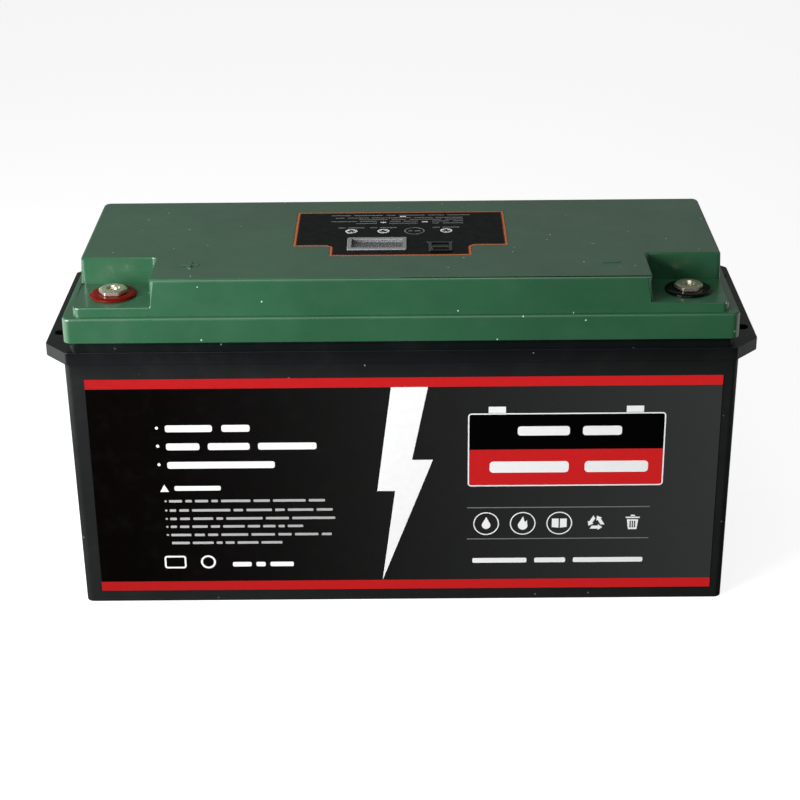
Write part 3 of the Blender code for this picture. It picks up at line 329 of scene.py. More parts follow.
class Paint:
    """One material, and the nodes that it is built from."""

    def __init__(self, name):
        self.material = bpy.data.materials.new(name)
        self.material.use_nodes = True
        self.tree = self.material.node_tree
        self.shader = self.tree.nodes["Principled BSDF"]
        self.place = self.add("ShaderNodeTexCoord", output="Object")

    def add(self, kind, settings=None, inputs=None, output=0):
        """Adds a node with its settings, then fills or links its sockets."""
        node = self.tree.nodes.new(kind)
        for name, value in (settings or {}).items():
            setattr(node, name, value)
        for name, value in (inputs or {}).items():
            self.feed(node.inputs[name], value)
        return Value(self, node.outputs[output])

    def feed(self, socket, value):
        if isinstance(value, Value):
            self.tree.links.new(value.socket, socket)
        elif socket.type == "RGBA" and len(value) == 3:
            socket.default_value = (*value, 1.0)
        else:
            socket.default_value = value

    def noise(self, size, detail=2.0, stretch=(1, 1, 1), rough=0.5):
        """Noise from 0 to 1, whose features are about size across, longer where stretch is over 1."""
        scale = tuple(1 / along for along in stretch)
        spot = self.add("ShaderNodeMapping", {}, {"Vector": self.place, "Scale": scale})
        inputs = {"Vector": spot, "Scale": 1 / size, "Detail": detail, "Roughness": rough}
        return self.add("ShaderNodeTexNoise", {}, inputs)

    def cells(self, size):
        """The distance to the middle of each cell, for cells about size across."""
        inputs = {"Vector": self.place, "Scale": 1 / size}
        return self.add("ShaderNodeTexVoronoi", {}, inputs, "Distance")

    def bands(self, direction, width):
        """Light and dark bands along a direction, each about as wide as width."""
        settings = {"wave_type": "BANDS", "bands_direction": direction}
        return self.add("ShaderNodeTexWave", settings, {"Vector": self.place, "Scale": 0.16 / width})

    def between(self, value, low, high, start=0.0, stop=1.0):
        """Start below low, stop above high, and a straight ramp between them."""
        inputs = {"Value": value, "From Min": low, "From Max": high, "To Min": start, "To Max": stop}
        return self.add("ShaderNodeMapRange", {"clamp": True}, inputs)

    def mix(self, factor, first, second):
        """A colour between two others."""
        settings = {"data_type": "RGBA", "clamp_factor": True}
        return self.add("ShaderNodeMix", settings, {0: factor, 6: first, 7: second}, 2)

    def axis(self, letter):
        return self.add("ShaderNodeSeparateXYZ", {}, {"Vector": self.place}, letter)

    def bump(self, *layers):
        """Stacks bumps, each (height, distance)."""
        normal = None
        for height, distance in layers:
            inputs = {"Height": height, "Distance": distance, "Strength": 1.0}
            if normal:
                inputs["Normal"] = normal
            normal = self.add("ShaderNodeBump", {}, inputs)
        self.feed(self.shader.inputs["Normal"], normal)

    def set(self, **sockets):
        """Sets the shader's sockets. An underscore in a name stands for a space."""
        for name, value in sockets.items():
            self.feed(self.shader.inputs[name.replace("_", " ")], value)
        return self.material


# Finishes.

# Pale specks: partly dust, partly painted glints of light.
PALE_DUST_AND_GLINT = (0.62, 0.68, 0.64)


def moulded(
    name, colour, rough, grain=0.0, shine=0.5, dusty=0.05, waves=0.02, dust_and_glints=0.3, upper=None, coat=0.0
):
    """Injection-moulded plastic: flow mottling, fine scratches, handling marks, dust, pale specks that are partly
    painted glints, and a pebbled grain.

    grain and waves are heights in millimetres. dusty is how much the film of dust shows, and the specks' strength
    is how much the pale specks show: partly dust, partly painted glints of light.
    upper is the colour of the case above its label, darker there as painted shade near the cover.
    """
    paint = Paint(name)
    dust = tuple(0.5 * part + 0.12 for part in colour)
    mottle = paint.noise(60 * MM, 3)
    smudge = paint.noise(18 * MM, 4, rough=0.6)
    scratches = paint.noise(0.5 * MM, 2, (60, 1.2, 1.2))
    cross = paint.noise(0.5 * MM, 2, (1.2, 1.2, 50))
    scratched = paint.between(scratches, 0.68, 0.74) + paint.between(cross, 0.69, 0.75)
    darker = tuple(part * 0.92 for part in colour)
    lighter = tuple(part * 1.06 for part in colour)
    body = paint.mix(paint.between(mottle, 0.35, 0.65), darker, lighter)
    # Pale specks, partly dust and partly painted glints of light.
    dust_and_glint_mask = paint.between(paint.cells(12 * MM), 0.04, 0.055, dust_and_glints, 0.0)
    film = paint.between(smudge, 0.5, 0.75) * dusty
    # Painted shade: the case darkens towards its top, near the cover's overhang.
    if upper:
        body = paint.mix(paint.between(paint.axis("Z"), LABEL_HIGH.z, FLANGE_TOP), body, upper)
    body = paint.mix(film, body, dust)
    body = paint.mix(dust_and_glint_mask, body, PALE_DUST_AND_GLINT)
    body = paint.mix(scratched * 0.03, body, dust)
    surface = paint.between(smudge, 0.3, 0.7, rough - 0.04, rough + 0.07) + scratched * 0.07
    layers = [(paint.noise(45 * MM, 1), waves * MM), (scratched, -0.002 * MM)]
    if grain:
        layers.append((paint.noise(0.9 * MM, 3), grain * MM))
    paint.bump(*layers)
    sockets = {"Specular_IOR_Level": shine, "Coat_Weight": coat, "Coat_Roughness": 0.08}
    return paint.set(Base_Color=body, Roughness=surface, **sockets)


def ink(name, colour, rough=0.32, shine=0.2, right=None):
    """Screen-printed ink: nearly even, with a faint mesh and small thin spots.

    right is its colour at the label's right end, where that differs. A lighter right end is painted light: it
    makes up for the key light falling off towards the right.
    """
    paint = Paint(name)
    thin = paint.noise(5 * MM, 4)
    mesh = paint.noise(0.35 * MM, 1)
    body = colour
    # Painted light: the ink lightens along the label towards its right end, against the key light's falloff.
    if right:
        body = paint.mix(paint.between(paint.axis("X"), LABEL_LOW.x, LABEL_HIGH.x), colour, right)
    darker = paint.mix(0.035, body, (0, 0, 0))
    body = paint.mix(paint.between(thin, 0.3, 0.7), darker, body)
    paint.bump((mesh, 0.004 * MM))
    surface = paint.between(thin, 0.3, 0.7, rough, rough + 0.1)
    return paint.set(Base_Color=body, Roughness=surface, Specular_IOR_Level=shine)


def film_ground(name, low, high, rough=0.3):
    """Printed film: a ground that goes from black to dark grey along the case, under clear lacquer."""
    paint = Paint(name)
    left, right = (0.0014, 0.0008, 0.0007), (0.041, 0.0435, 0.043)
    body = paint.mix(paint.between(paint.axis("X"), low, high) ** 2.0, left, right)
    rub = paint.noise(14 * MM, 5, rough=0.65)
    hair = paint.noise(0.4 * MM, 2, (80, 1, 1.4))
    body = paint.mix(paint.between(rub, 0.52, 0.8) * 0.003, body, (0.5, 0.5, 0.5))
    ripple = paint.noise(30 * MM, 2)
    surface = paint.between(rub, 0.3, 0.75, rough - 0.05, rough + 0.09)
    surface = surface + paint.between(hair, 0.7, 0.76) * 0.1
    paint.bump((ripple, 0.03 * MM), (paint.noise(0.8 * MM, 2), 0.002 * MM))
    return paint.set(Base_Color=body, Roughness=surface, Specular_IOR_Level=0.08)


def plated(name, colour, rough=0.22, lines=0.0, metal=1.0):
    """Plated metal: turning lines, small stains and fine scratches."""
    paint = Paint(name)
    stain = paint.noise(3 * MM, 5, rough=0.65)
    scratch = paint.noise(0.25 * MM, 2, (25, 1, 1))
    darker = tuple(part * 0.8 for part in colour)
    body = paint.mix(paint.between(stain, 0.35, 0.75), colour, darker)
    surface = paint.between(stain, 0.3, 0.75, rough, rough + 0.1)
    paint.bump((scratch, 0.004 * MM), (paint.noise(0.12 * MM, 1), (0.002 + lines) * MM))
    return paint.set(Base_Color=body, Roughness=surface, Metallic=metal)


def weave(name, colour, pitch, rough=0.55):
    """Fibre board, strap and circuit board: crossed fine threads under resin."""
    paint = Paint(name)
    threads = paint.bands("Y", pitch) * paint.bands("Z", pitch)
    stain = paint.noise(12 * MM, 4)
    darker = tuple(part * 0.7 for part in colour)
    body = paint.mix(threads * 0.6 + stain * 0.4, darker, colour)
    paint.bump((threads, 0.02 * MM))
    return paint.set(Base_Color=body, Roughness=paint.between(stain, 0.3, 0.7, rough, rough + 0.15))


def foam(name, colour):
    """Closed-cell foam with a pitted skin."""
    paint = Paint(name)
    pits = paint.cells(1.2 * MM)
    cloud = paint.noise(20 * MM, 4)
    lighter = tuple(part * 1.5 for part in colour)
    body = paint.mix(cloud * 0.5 + pits * 0.5, colour, lighter)
    paint.bump((pits, 0.25 * MM))
    return paint.set(Base_Color=body, Roughness=paint.between(cloud, 0.3, 0.7, 0.85, 0.95))


def sheath(name, colour, rough=0.45):
    """Silicone cable sheath, with talc and scuffs."""
    paint = Paint(name)
    scuff = paint.noise(4 * MM, 5, rough=0.65)
    fine = paint.noise(0.3 * MM, 2)
    talc = tuple(part * 0.6 + 0.12 for part in colour)
    body = paint.mix(paint.between(scuff, 0.5, 0.8) * 0.3, colour, talc)
    paint.bump((fine, 0.01 * MM))
    return paint.set(Base_Color=body, Roughness=paint.between(scuff, 0.3, 0.7, rough, rough + 0.2))


def clear_window(name):
    """A clear acrylic window with fine wipe marks."""
    paint = Paint(name)
    wipe = paint.noise(0.6 * MM, 3, (14, 1, 1))
    veil = paint.between(wipe, 0.45, 0.8, 0.05, 0.1)
    body = paint.mix(wipe, (0.6, 0.63, 0.64), (0.75, 0.77, 0.78))
    paint.material.surface_render_method = "BLENDED"
    return paint.set(Base_Color=body, Alpha=veil, Roughness=paint.between(wipe, 0.4, 0.8, 0.06, 0.2))


def liquid_crystal(name, low, high):
    """An unlit display: grey-green glass, paler to its right, with the faint grid of its segments."""
    paint = Paint(name)
    cloud = paint.noise(9 * MM, 3)
    grid = paint.bands("X", 3 * MM)
    glow = paint.between(paint.axis("X"), low, high, 0.15, 0.45) + cloud * 0.4
    body = paint.mix(glow, (0.046, 0.051, 0.051), (0.08, 0.087, 0.085))
    body = paint.mix(paint.between(grid, 0.9, 1.0) * 0.2, body, (0.04, 0.045, 0.045))
    return paint.set(Base_Color=body, Roughness=paint.between(cloud, 0.3, 0.7, 0.22, 0.34))


FINISHES = {
    # The cover's many pale specks are partly dust and partly painted glints.
    "cover": moulded(
        "green_cover_plastic", (0.0225, 0.104, 0.0465), 0.3, grain=0.0015, shine=0.8,
        dusty=0.03, waves=0.05, dust_and_glints=0.9, coat=0.25,
    ),
    # The case's upper colour is painted shade, darker towards the cover.
    "case": moulded(
        "black_case_plastic", (0.0125, 0.0132, 0.0134), 0.34, grain=0.006, shine=0.25,
        dusty=0.02, waves=0.08, upper=(0.0034, 0.0048, 0.005),
    ),
    "front": film_ground("front_film", LABEL_LOW.x, LABEL_HIGH.x),
    "panel": ink("panel_film", (0.0055, 0.0072, 0.007), rough=0.36, shine=0.05),
    # The white and red inks are painted lighter at the label's right end, to make up for the key light's falloff.
    "white": ink("white_ink", (0.86, 0.865, 0.865), right=(0.985, 0.985, 0.985)),
    "red": ink("red_ink", (0.36, 0.0085, 0.0095), right=(0.72, 0.017, 0.019)),
    "pale": ink("pale_ink", (0.42, 0.425, 0.425)),
    "grey": ink("grey_ink", (0.2, 0.205, 0.205)),
    "copper": ink("copper_ink", (0.6, 0.17, 0.045)),
    "badge": ink("black_ink", (0.0008, 0.0008, 0.0008), rough=0.3, shine=0.05),
    "red_ring": moulded("red_ring_plastic", (0.15, 0.003, 0.0015), 0.2, shine=0.1, dusty=0.01),
    "black_ring": moulded("black_ring_plastic", (0.002, 0.002, 0.002), 0.16, shine=0.25, dusty=0.01),
    "nickel": plated("nickel_plate", (0.92, 0.86, 0.68), 0.2, metal=0.85),
    "bezel": moulded("grey_bezel_plastic", (0.3, 0.305, 0.315), 0.4, grain=0.004, shine=0.3, dusty=0.03),
    "lens": clear_window("clear_window"),
    "switch": moulded("black_switch_plastic", (0.005, 0.0052, 0.0055), 0.15, grain=0.001, shine=0.7),
}

# The finish of each slot of the record whose CAD nodes stay as they are.
INNER_FINISHES = {
    "seal_rubber": sheath("seal_rubber", (0.012, 0.012, 0.012), 0.7),
    "plated_steel": plated("zinc_plate", (0.62, 0.62, 0.6), 0.3),
    "tinned_copper": plated("tinned_copper", (0.75, 0.68, 0.6), 0.32),
    "display_glass": liquid_crystal("liquid_crystal", LENS_LOW.x, LENS_HIGH.x),
    "circuit_board": weave("circuit_board", (0.03, 0.15, 0.06), 0.8 * MM, 0.3),
    "cell_film": moulded("blue_cell_film", (0.015, 0.08, 0.36), 0.3, waves=0.1),
    "fibre_board": weave("fibre_board", (0.5, 0.4, 0.17), 1.0 * MM),
    "strap_green": weave("polyester_strap", (0.04, 0.22, 0.09), 0.7 * MM, 0.4),
    "foam": foam("black_foam", (0.03, 0.03, 0.033)),
    "heatsink_aluminium": plated("sawn_aluminium", (0.62, 0.63, 0.65), 0.35, lines=0.01),
    "bms_black": moulded("black_unit_plastic", (0.014, 0.014, 0.015), 0.45, grain=0.006),
    "cable_red": sheath("red_sheath", (0.4, 0.008, 0.008)),
    "cable_black": sheath("black_sheath", (0.012, 0.012, 0.012)),
    "cable_blue": sheath("blue_sheath", (0.01, 0.04, 0.3)),
    "ribbon_grey": sheath("grey_ribbon", (0.3, 0.31, 0.32)),
}


def finish_inner_nodes():
    """Gives each CAD node that stays as it is the finish of its slot."""
    for part in frame["record"]["subparts"]:
        if part["material_slot"] in INNER_FINISHES:
            for holder in frame["nodes"][part["node"]].material_slots:
                holder.material = INNER_FINISHES[part["material_slot"]]


# Case.


def widen(half_from, half_to):
    """Scales what is selected about the middle axis, from one half size to another."""
    grow = (half_to.x / half_from.x, half_to.y / half_from.y, 1)
    bpy.ops.transform.resize(value=grow, center_override=(0, 0, 0))


def rope_holes():
    """Drums for the four holes in the ears, two to an ear."""
    holes = []
    for x in (-ROPE_HOLE.x, ROPE_HOLE.x):
        for y in (-ROPE_HOLE.y, ROPE_HOLE.y):
            centre = (x, y, (FLANGE_BOTTOM + FLANGE_TOP) / 2)
            holes.append(drum("rope_hole", centre, ROPE_HOLE_RADIUS, 20 * MM, 48))
    return holes


def chamfer_ears(flange):
    """Cuts the four corners of the flange at a slant."""
    edit(flange)
    for side in (-1, 1):
        for end in (-1, 1):
            spot = (side * (CASE_HIGH.x - EAR_CHAMFER.x), end * CASE_HIGH.y, 0)
            outwards = (side * EAR_CHAMFER.y, end * EAR_CHAMFER.x, 0)
            pick_all()
            bpy.ops.mesh.bisect(plane_co=spot, plane_no=outwards, clear_outer=True, use_fill=True)
    leave()


def make_flange():
    """The flange, with rope holes in its ears."""
    flange = slab("flange", CASE_HIGH, FLANGE_BOTTOM, FLANGE_TOP)
    chamfer_ears(flange)
    carve(flange, *rope_holes())
    round_edges(flange, upright(lambda middle: abs(middle.y) > 60 * MM), 1.2 * MM, segments=3)
    soften(flange, 0.7 * MM)
    return flange


def make_rim():
    """The rim that the cover sits on, with a shallow notch round its top."""
    top = CASE_HIGH.z
    rim = slab("rim", RIM_HALF, FLANGE_BOTTOM + 0.5 * MM, top)
    round_edges(rim, upright(), 5 * MM, segments=8)
    soften(rim, 0.3 * MM)
    notch = slab("notch", RIM_HALF + each_way(9) * MM, top - 1.3 * MM, top + 1 * MM)
    core = slab("notch_core", RIM_HALF - each_way(0.7) * MM, top - 5 * MM, top + 5 * MM)
    round_edges(core, upright(), 4.3 * MM, segments=8)
    return carve(rim, carve(notch, core))


def make_case():
    """The tub, drafted upwards, its flange with chamfered ears, and the rim that the cover sits on."""
    tub = slab("case", BASE_HALF, 0, FLANGE_BOTTOM + 1 * MM)
    edit(tub)
    pick_top()
    widen(BASE_HALF, TUB_TOP_HALF)
    leave()
    round_edges(tub, upright(), 5 * MM, segments=8)
    round_edges(tub, below(NEAR), 0.8 * MM, segments=4)
    carve(tub, make_flange(), make_rim(), how="UNION")
    hollow = slab("hollow", BASE_HALF - each_way(CASE_WALL), CASE_WALL, FLANGE_BOTTOM)
    mouth = slab("mouth", MOUTH_HALF, FLANGE_BOTTOM - 1 * MM, CASE_HIGH.z + 10 * MM)
    carve(tub, hollow, mouth, seal_groove())
    finish_piece(shade(tub), "case", "case_black", "container")


def seal_groove():
    """The groove in the rim, a little wider than the seal in it."""
    seal_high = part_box("lid_seal")[1]
    clear, width, depth = mm(0.25, 2.1, 1.8)
    top = CASE_HIGH.z
    outside = Vector((seal_high.x + clear, seal_high.y + clear))
    groove = slab("groove", outside, top - depth, top + 5 * MM)
    core = slab("core", outside - each_way(width), top - 9 * MM, top + 9 * MM)
    round_edges(groove, upright(), 3.4 * MM)
    round_edges(core, upright(), 1.4 * MM)
    return carve(groove, core)


# Cover.


def in_recess(middle, margin):
    return middle.y < RECESS_Y + margin and abs(middle.x) > RECESS_X - margin


def recess_corner(middle):
    """Whether an upright edge is a corner of a recess."""
    return middle.z > RECESS_FLOOR and in_recess(middle, 1 * MM)


def recess_rim(middle, along):
    """Whether an edge lies flat round the top of a recess, or along the open sides of its floor."""
    lies_flat = abs(along.z) < 0.1
    at_top = middle.z > BLOCK_TOP - NEAR
    outside = abs(middle.y) > BLOCK_HALF.y - 1 * MM or abs(middle.x) > BLOCK_HALF.x - 1 * MM
    floor_edge = abs(middle.z - RECESS_FLOOR) < NEAR and outside
    return lies_flat and in_recess(middle, NEAR) and (at_top or floor_edge)


def recess_block(name, side, wall):
    """What a recess takes from a front corner of the cover, larger by a wall."""
    near, far = sorted((side * (RECESS_X - wall), side * (SKIRT_HALF.x + 10 * MM)))
    low = (near, -SKIRT_HALF.y - 10 * MM, RECESS_FLOOR - wall)
    return block(name, low, (far, RECESS_Y + wall, BLOCK_TOP + 10 * MM))


def cover_outside():
    """The skirt and the block on it, with a recess at each front corner."""
    cover = slab("cover_shell", SKIRT_HALF, SKIRT_BOTTOM, SKIRT_TOP)
    round_edges(cover, upright(), 6 * MM, segments=8)
    round_edges(cover, above(SKIRT_TOP - NEAR), 1.9 * MM)
    round_edges(cover, below(SKIRT_BOTTOM + NEAR), 0.6 * MM, segments=3)
    upper = slab("upper", BLOCK_HALF, SKIRT_TOP - 2 * MM, SKIRT_TOP)
    edit(upper)
    pick_top()
    bpy.ops.mesh.extrude_region_move(TRANSFORM_OT_translate={"value": (0, 0, BLOCK_TOP - SKIRT_TOP)})
    widen(BLOCK_HALF, BLOCK_HALF - each_way(DRAFT))
    leave()
    round_edges(upper, upright(), 5 * MM, segments=8)
    round_edges(upper, above(BLOCK_TOP - NEAR), 2.2 * MM)
    carve(cover, upper, how="UNION")
    for side in (-1, 1):
        carve(cover, recess_block("recess", side, 0))
    round_edges(cover, upright(recess_corner), 3.2 * MM)
    round_edges(cover, recess_rim, 1.2 * MM, segments=4)
    return soften(cover, 0.5 * MM)


def hollow_out(cover):
    """Hollows the skirt and the block, keeps a wall round each recess, and adds the lip."""
    inner_skirt = SKIRT_HALF - each_way(COVER_WALL) * 1.2
    skirt_hollow = slab("skirt_hollow", inner_skirt, SKIRT_BOTTOM - 9 * MM, SKIRT_TOP - COVER_WALL)
    inner_block = BLOCK_HALF - each_way(COVER_WALL + DRAFT)
    block_hollow = slab("block_hollow", inner_block, SKIRT_BOTTOM + 9 * MM, BLOCK_TOP - COVER_WALL)
    for side in (-1, 1):
        carve(block_hollow, recess_block("kept", side, COVER_WALL))
    carve(cover, skirt_hollow, block_hollow)
    carve(cover, cover_lip(), how="UNION")


def make_cover():
    """The cover, moulded in one, with the panel's shallow recess and the openings through it."""
    cover = cover_outside()
    hollow_out(cover)
    carve(cover, thicken(panel_face("panel_recess", 0.0), PANEL_FLOOR, 5 * MM))
    carve(cover, opening("display_opening", BEZEL_LOW, BEZEL_HIGH))
    carve(cover, opening("switch_opening", HOUSING_LOW, HOUSING_HIGH))
    for side in (-1, 1):
        carve(cover, drum("post_hole", (side * POST_X, POST_Y, RECESS_FLOOR), 6.5 * MM, 20 * MM, 48))
    finish_piece(shade(cover), "cover", "cover_green", "cover")


def cover_lip():
    """The wall that hangs from the cover inside the rim."""
    outside = MOUTH_HALF - each_way(0.4) * MM
    lip = slab("lip", outside, COVER_LOW.z, SKIRT_BOTTOM + 5 * MM)
    round_edges(lip, upright(), 2 * MM, segments=4)
    inside = outside - each_way(2.5) * MM
    return carve(lip, slab("lip_hollow", inside, COVER_LOW.z - 5 * MM, SKIRT_BOTTOM + 9 * MM))


def opening(name, low, high):
    """A way through the cover's top for a body whose frame overlaps it by 1 mm all round."""
    inset = Vector((1, 1, 0)) * MM
    bottom = Vector((low.x, low.y, BLOCK_TOP - 12 * MM)) + inset
    top = Vector((high.x, high.y, BLOCK_TOP + 5 * MM)) - inset
    return block(name, bottom, top)


def make_polarity_marks():
    """The raised plus and minus, each a rounded bar or two."""
    half, width, height = mm(6.1, 1.15, 0.6)
    for name, x, bars in (("plus_mark", -MARK_X, 2), ("minus_mark", MARK_X, 1)):
        shapes = []
        for half_x, half_y in ((half, width), (width, half))[:bars]:
            low = (x - half_x, MARK_Y - half_y, BLOCK_TOP - 0.2 * MM)
            high = (x + half_x, MARK_Y + half_y, BLOCK_TOP + height)
            shapes.append(block(name, low, high))
        mark = carve(*shapes, how="UNION")
        soften(mark, 0.3 * MM)
        finish_piece(shade(mark), "cover", "cover_green")


# Labels and their print. Print is drawn as flat plates in the XY plane, and then placed.


def flat_face(name, low, high):
    """One flat face between two corners."""
    middle, size = (low + high) / 2, high - low
    bpy.ops.mesh.primitive_plane_add(size=1, location=(*middle, 0))
    bpy.context.active_object.scale = (*size, 1)
    return settle(name)


def plate(name, low, high, corner=0.0, thick=INK):
    """A flat plate between two corners, with rounded corners of its own."""
    low, high = Vector(low), Vector(high)
    obj = flat_face(name, low, high)
    if corner:
        edit(obj)
        pick_all()
        most = min(high - low) * 0.499
        bpy.ops.mesh.bevel(offset=min(corner, most), segments=5, affect="VERTICES")
        leave()
    return thicken(obj, 0, thick)


def thicken(obj, base, thick):
    """Raises a flat sheet to a height, and gives it its thickness."""
    edit(obj)
    bpy.ops.mesh.select_mode(type="FACE")
    pick_all()
    bpy.ops.mesh.normals_make_consistent(inside=False)
    bpy.ops.transform.translate(value=(0, 0, base))
    bpy.ops.mesh.extrude_region_move(TRANSFORM_OT_translate={"value": (0, 0, thick)})
    pick_all()
    bpy.ops.mesh.normals_make_consistent(inside=False)
    leave()
    return obj


def cut_plate(name, corners):
    """A convex plate, cut from a square sheet along each line of its counter-clockwise outline."""
    corners = [Vector((*corner, 0)) for corner in corners]
    middle = sum(corners, Vector()) / len(corners)
    reach = max((corner - middle).length for corner in corners)
    bpy.ops.mesh.primitive_plane_add(size=4 * reach, location=middle)
    obj = settle(name)
    edit(obj)
    for here, there in zip(corners, corners[1:] + corners[:1]):
        along = there - here
        outwards = (along.y, -along.x, 0)
        pick_all()
        bpy.ops.mesh.bisect(plane_co=here, plane_no=outwards, clear_outer=True, threshold=0.00001 * MM)
    leave()
    return thicken(obj, 0, INK)


def disc(name, centre, radius, sides=40):
    return drum(name, (*centre, INK / 2), radius, INK, sides)


def hoop(name, centre, radius, width):
    """A flat ring of the given outer radius and line width."""
    profile = [(radius, 0), (radius, INK), (radius - width, INK), (radius - width, 0)]
    return turned(name, (*centre, 0), profile, 56, bore=True)


def word_bars(left, right, bottom, height, words):
    """A row of plain bars, one to a word, as long as each word's count of letters."""
    letters = sum(words) + len(words) - 1
    step = (right - left) / letters
    bars, start = [], left
    for letters_in_word in words:
        end = start + letters_in_word * step
        bars.append(plate("bar", (start, bottom), (end, bottom + height), height * 0.3))
        start = end + step
    return bars


def frame_plate(name, low, high, corner, width):
    """A rectangular outline of the given line width."""
    outer = plate(name, low, high, corner)
    inset = each_way(width)
    inner = plate("inner", Vector(low) + inset, Vector(high) - inset, corner - width, thick=4 * INK)
    return carve(outer, place(inner, move=(0, 0, -INK)))


# The icons are drawn round the origin. The front's print puts each in its place.


def drop_icon():
    body = disc("drop", mm(0, -1.2), 3.0 * MM)
    tip = cut_plate("tip", [mm(-2.75, 0), mm(2.75, 0), mm(0, 5.2)])
    return [carve(body, tip, how="UNION")]


def flame_icon():
    body = disc("flame", mm(0, -1.6), 3.4 * MM)
    tall = cut_plate("tall", [mm(-3.2, -0.6), mm(1.8, -0.6), mm(0.2, 5.6)])
    small = cut_plate("small", [mm(0.2, -0.8), mm(3.2, -1.0), mm(3.0, 2.6)])
    return [carve(body, tall, small, how="UNION")]


def book_icon():
    left = cut_plate("page", [mm(-5.2, -3.1), mm(-0.5, -3.6), mm(-0.5, 3.6), mm(-5.2, 3.6)])
    right = cut_plate("page", [mm(0.5, -3.6), mm(5.2, -3.1), mm(5.2, 3.6), mm(0.5, 3.6)])
    return [left, right]


def loop_icon():
    """Three arrows that chase each other round a triangle."""
    arrows = []
    for turn in (0, 120, 240):
        tail = cut_plate("tail", [mm(-4.2, -4.6), mm(1.6, -4.6), mm(1.6, -2.2), mm(-2.8, -2.2)])
        head = cut_plate("head", [mm(1.4, -5.7), mm(4.6, -3.4), mm(1.4, -1.1)])
        arrow = carve(tail, head, how="UNION")
        arrows.append(place(arrow, (0, 0, math.radians(turn))))
    return arrows


def bin_icon():
    body = cut_plate("bin", [mm(-3.0, -5.2), mm(3.0, -5.2), mm(4.0, 2.6), mm(-4.0, 2.6)])
    for left in (-2.0, -0.45, 1.1):
        slot = plate("slot", mm(left, -3.9), mm(left + 0.9, 1.4), thick=6 * INK)
        carve(body, place(slot, move=(0, 0, -INK)))
    lid = plate("bin_lid", mm(-4.9, 3.6), mm(4.9, 4.7), 0.3 * MM)
    grip = plate("bin_grip", mm(-1.5, 5.2), mm(1.5, 6.2), 0.3 * MM)
    return [body, lid, grip]


def lightning():
    """The bolt down the middle of the front: two long blades that meet in a step."""
    upper_outline = [mm(-17.5, 85), mm(1.9, 85), mm(18.1, UPPER_BAND), mm(-7.1, UPPER_BAND)]
    upper = cut_plate("bolt_upper", upper_outline)
    lower = cut_plate("bolt_lower", [mm(-14.7, LOWER_BAND), mm(21.3, 109), mm(-1.8, 109)])
    return carve(upper, lower, how="UNION")


def front_list():
    """The list at the front's left, and the marks below it."""
    shapes = []
    for bottom, end, words in ((131.6, -104.3, (5, 3)), (117.8, -58.8, (4, 5, 7)), (103.6, -88.1, (12,))):
        shapes.append(disc("point", mm(-168.2, bottom + 3.2), 1.1 * MM, sides=20))
        shapes += word_bars(*mm(-162.5, end, bottom, 5.2), words)
    shapes.append(cut_plate("sign", [mm(-168.6, 85.6), mm(-162.6, 85.6), mm(-165.6, 91.2)]))
    shapes += word_bars(*mm(-158.6, -126.4, 86.4, 3.6), (7,))
    shapes.append(frame_plate("mark_square", mm(-169, 24.4), mm(-153.6, 34.6), *mm(2, 1.3)))
    shapes.append(hoop("mark_ring", mm(-138, 29.5), *mm(5.3, 1.4)))
    shapes += word_bars(*mm(-120.7, -77.5, 25.6, 3.6), (4, 2, 5))
    return shapes


def front_badge():
    """The outline of a battery at the front's right, with two rows of words in it."""
    shapes = [frame_plate("badge_line", mm(45.4, 88), mm(180.8, 144), *mm(2.5, 0.9))]
    for left in (59.4, 153.6):
        shapes.append(plate("badge_tab", mm(left, 144.3), mm(left + 11.8, 149)))
    words = word_bars(*mm(79.5, 151, 127, 7), (4, 3)) + word_bars(*mm(60.5, 170, 98.6, 8.6), (5, 4))
    return shapes + [place(bar, move=(0, 0, INK)) for bar in words]


def front_icons():
    """A row of five icons under the badge, the first three ringed, and a line of words."""
    shapes = []
    for number, icon in enumerate((drop_icon, flame_icon, book_icon, loop_icon, bin_icon)):
        spot = mm(58.5 + 25.65 * number, 58.6)
        shapes += [place(shape, move=(*spot, 0)) for shape in icon()]
        if number < 3:
            shapes.append(hoop("icon_ring", spot, *mm(9, 0.75)))
    return shapes + word_bars(*mm(49, 169.4, 27.2, 3.8), (7, 4, 9))


def lean_on_front(obj, away):
    """Stands flat print up on the case's drafted front, a little away from the plastic."""
    lean = math.atan2(TUB_TOP_HALF.y - BASE_HALF.y, FLANGE_BOTTOM)
    return place(obj, (math.pi / 2 + lean, 0, 0), (0, -BASE_HALF.y - away, PRINT_RISE))


def make_front_label():
    """The printed sheet over the front, and its print, one piece to a colour."""
    low = (LABEL_LOW.x + LABEL_SHIFT, LABEL_LOW.z - PRINT_RISE)
    high = (LABEL_HIGH.x + LABEL_SHIFT, LABEL_HIGH.z - PRINT_RISE)
    sheet = plate("front_sheet", low, high, 0.6 * MM, SHEET)
    lean_on_front(sheet, 0.05 * MM)
    soften(sheet, 0.08 * MM, 2)
    finish_piece(shade(sheet), "front", "label_print", "front_label")
    red = [
        plate("band", (low[0], UPPER_BAND * MM), high),
        plate("band", low, (high[0], LOWER_BAND * MM)),
        plate("badge_red", mm(46.4, 89), mm(179.8, 116.4), 1.6 * MM),
    ]
    pieces = (
        (join("front_red_print", red), "red"),
        (plate("badge_black", mm(46.4, 116.5), mm(179.8, 143), 1.6 * MM), "badge"),
        (join("front_white_print", [lightning()] + front_list() + front_badge() + front_icons()), "white"),
        (small_print(), "pale"),
        (grey_lines(), "grey"),
    )
    for piece, finish in pieces:
        lean_on_front(piece, 0.05 * MM + SHEET)
        finish_piece(piece, finish, "label_print")


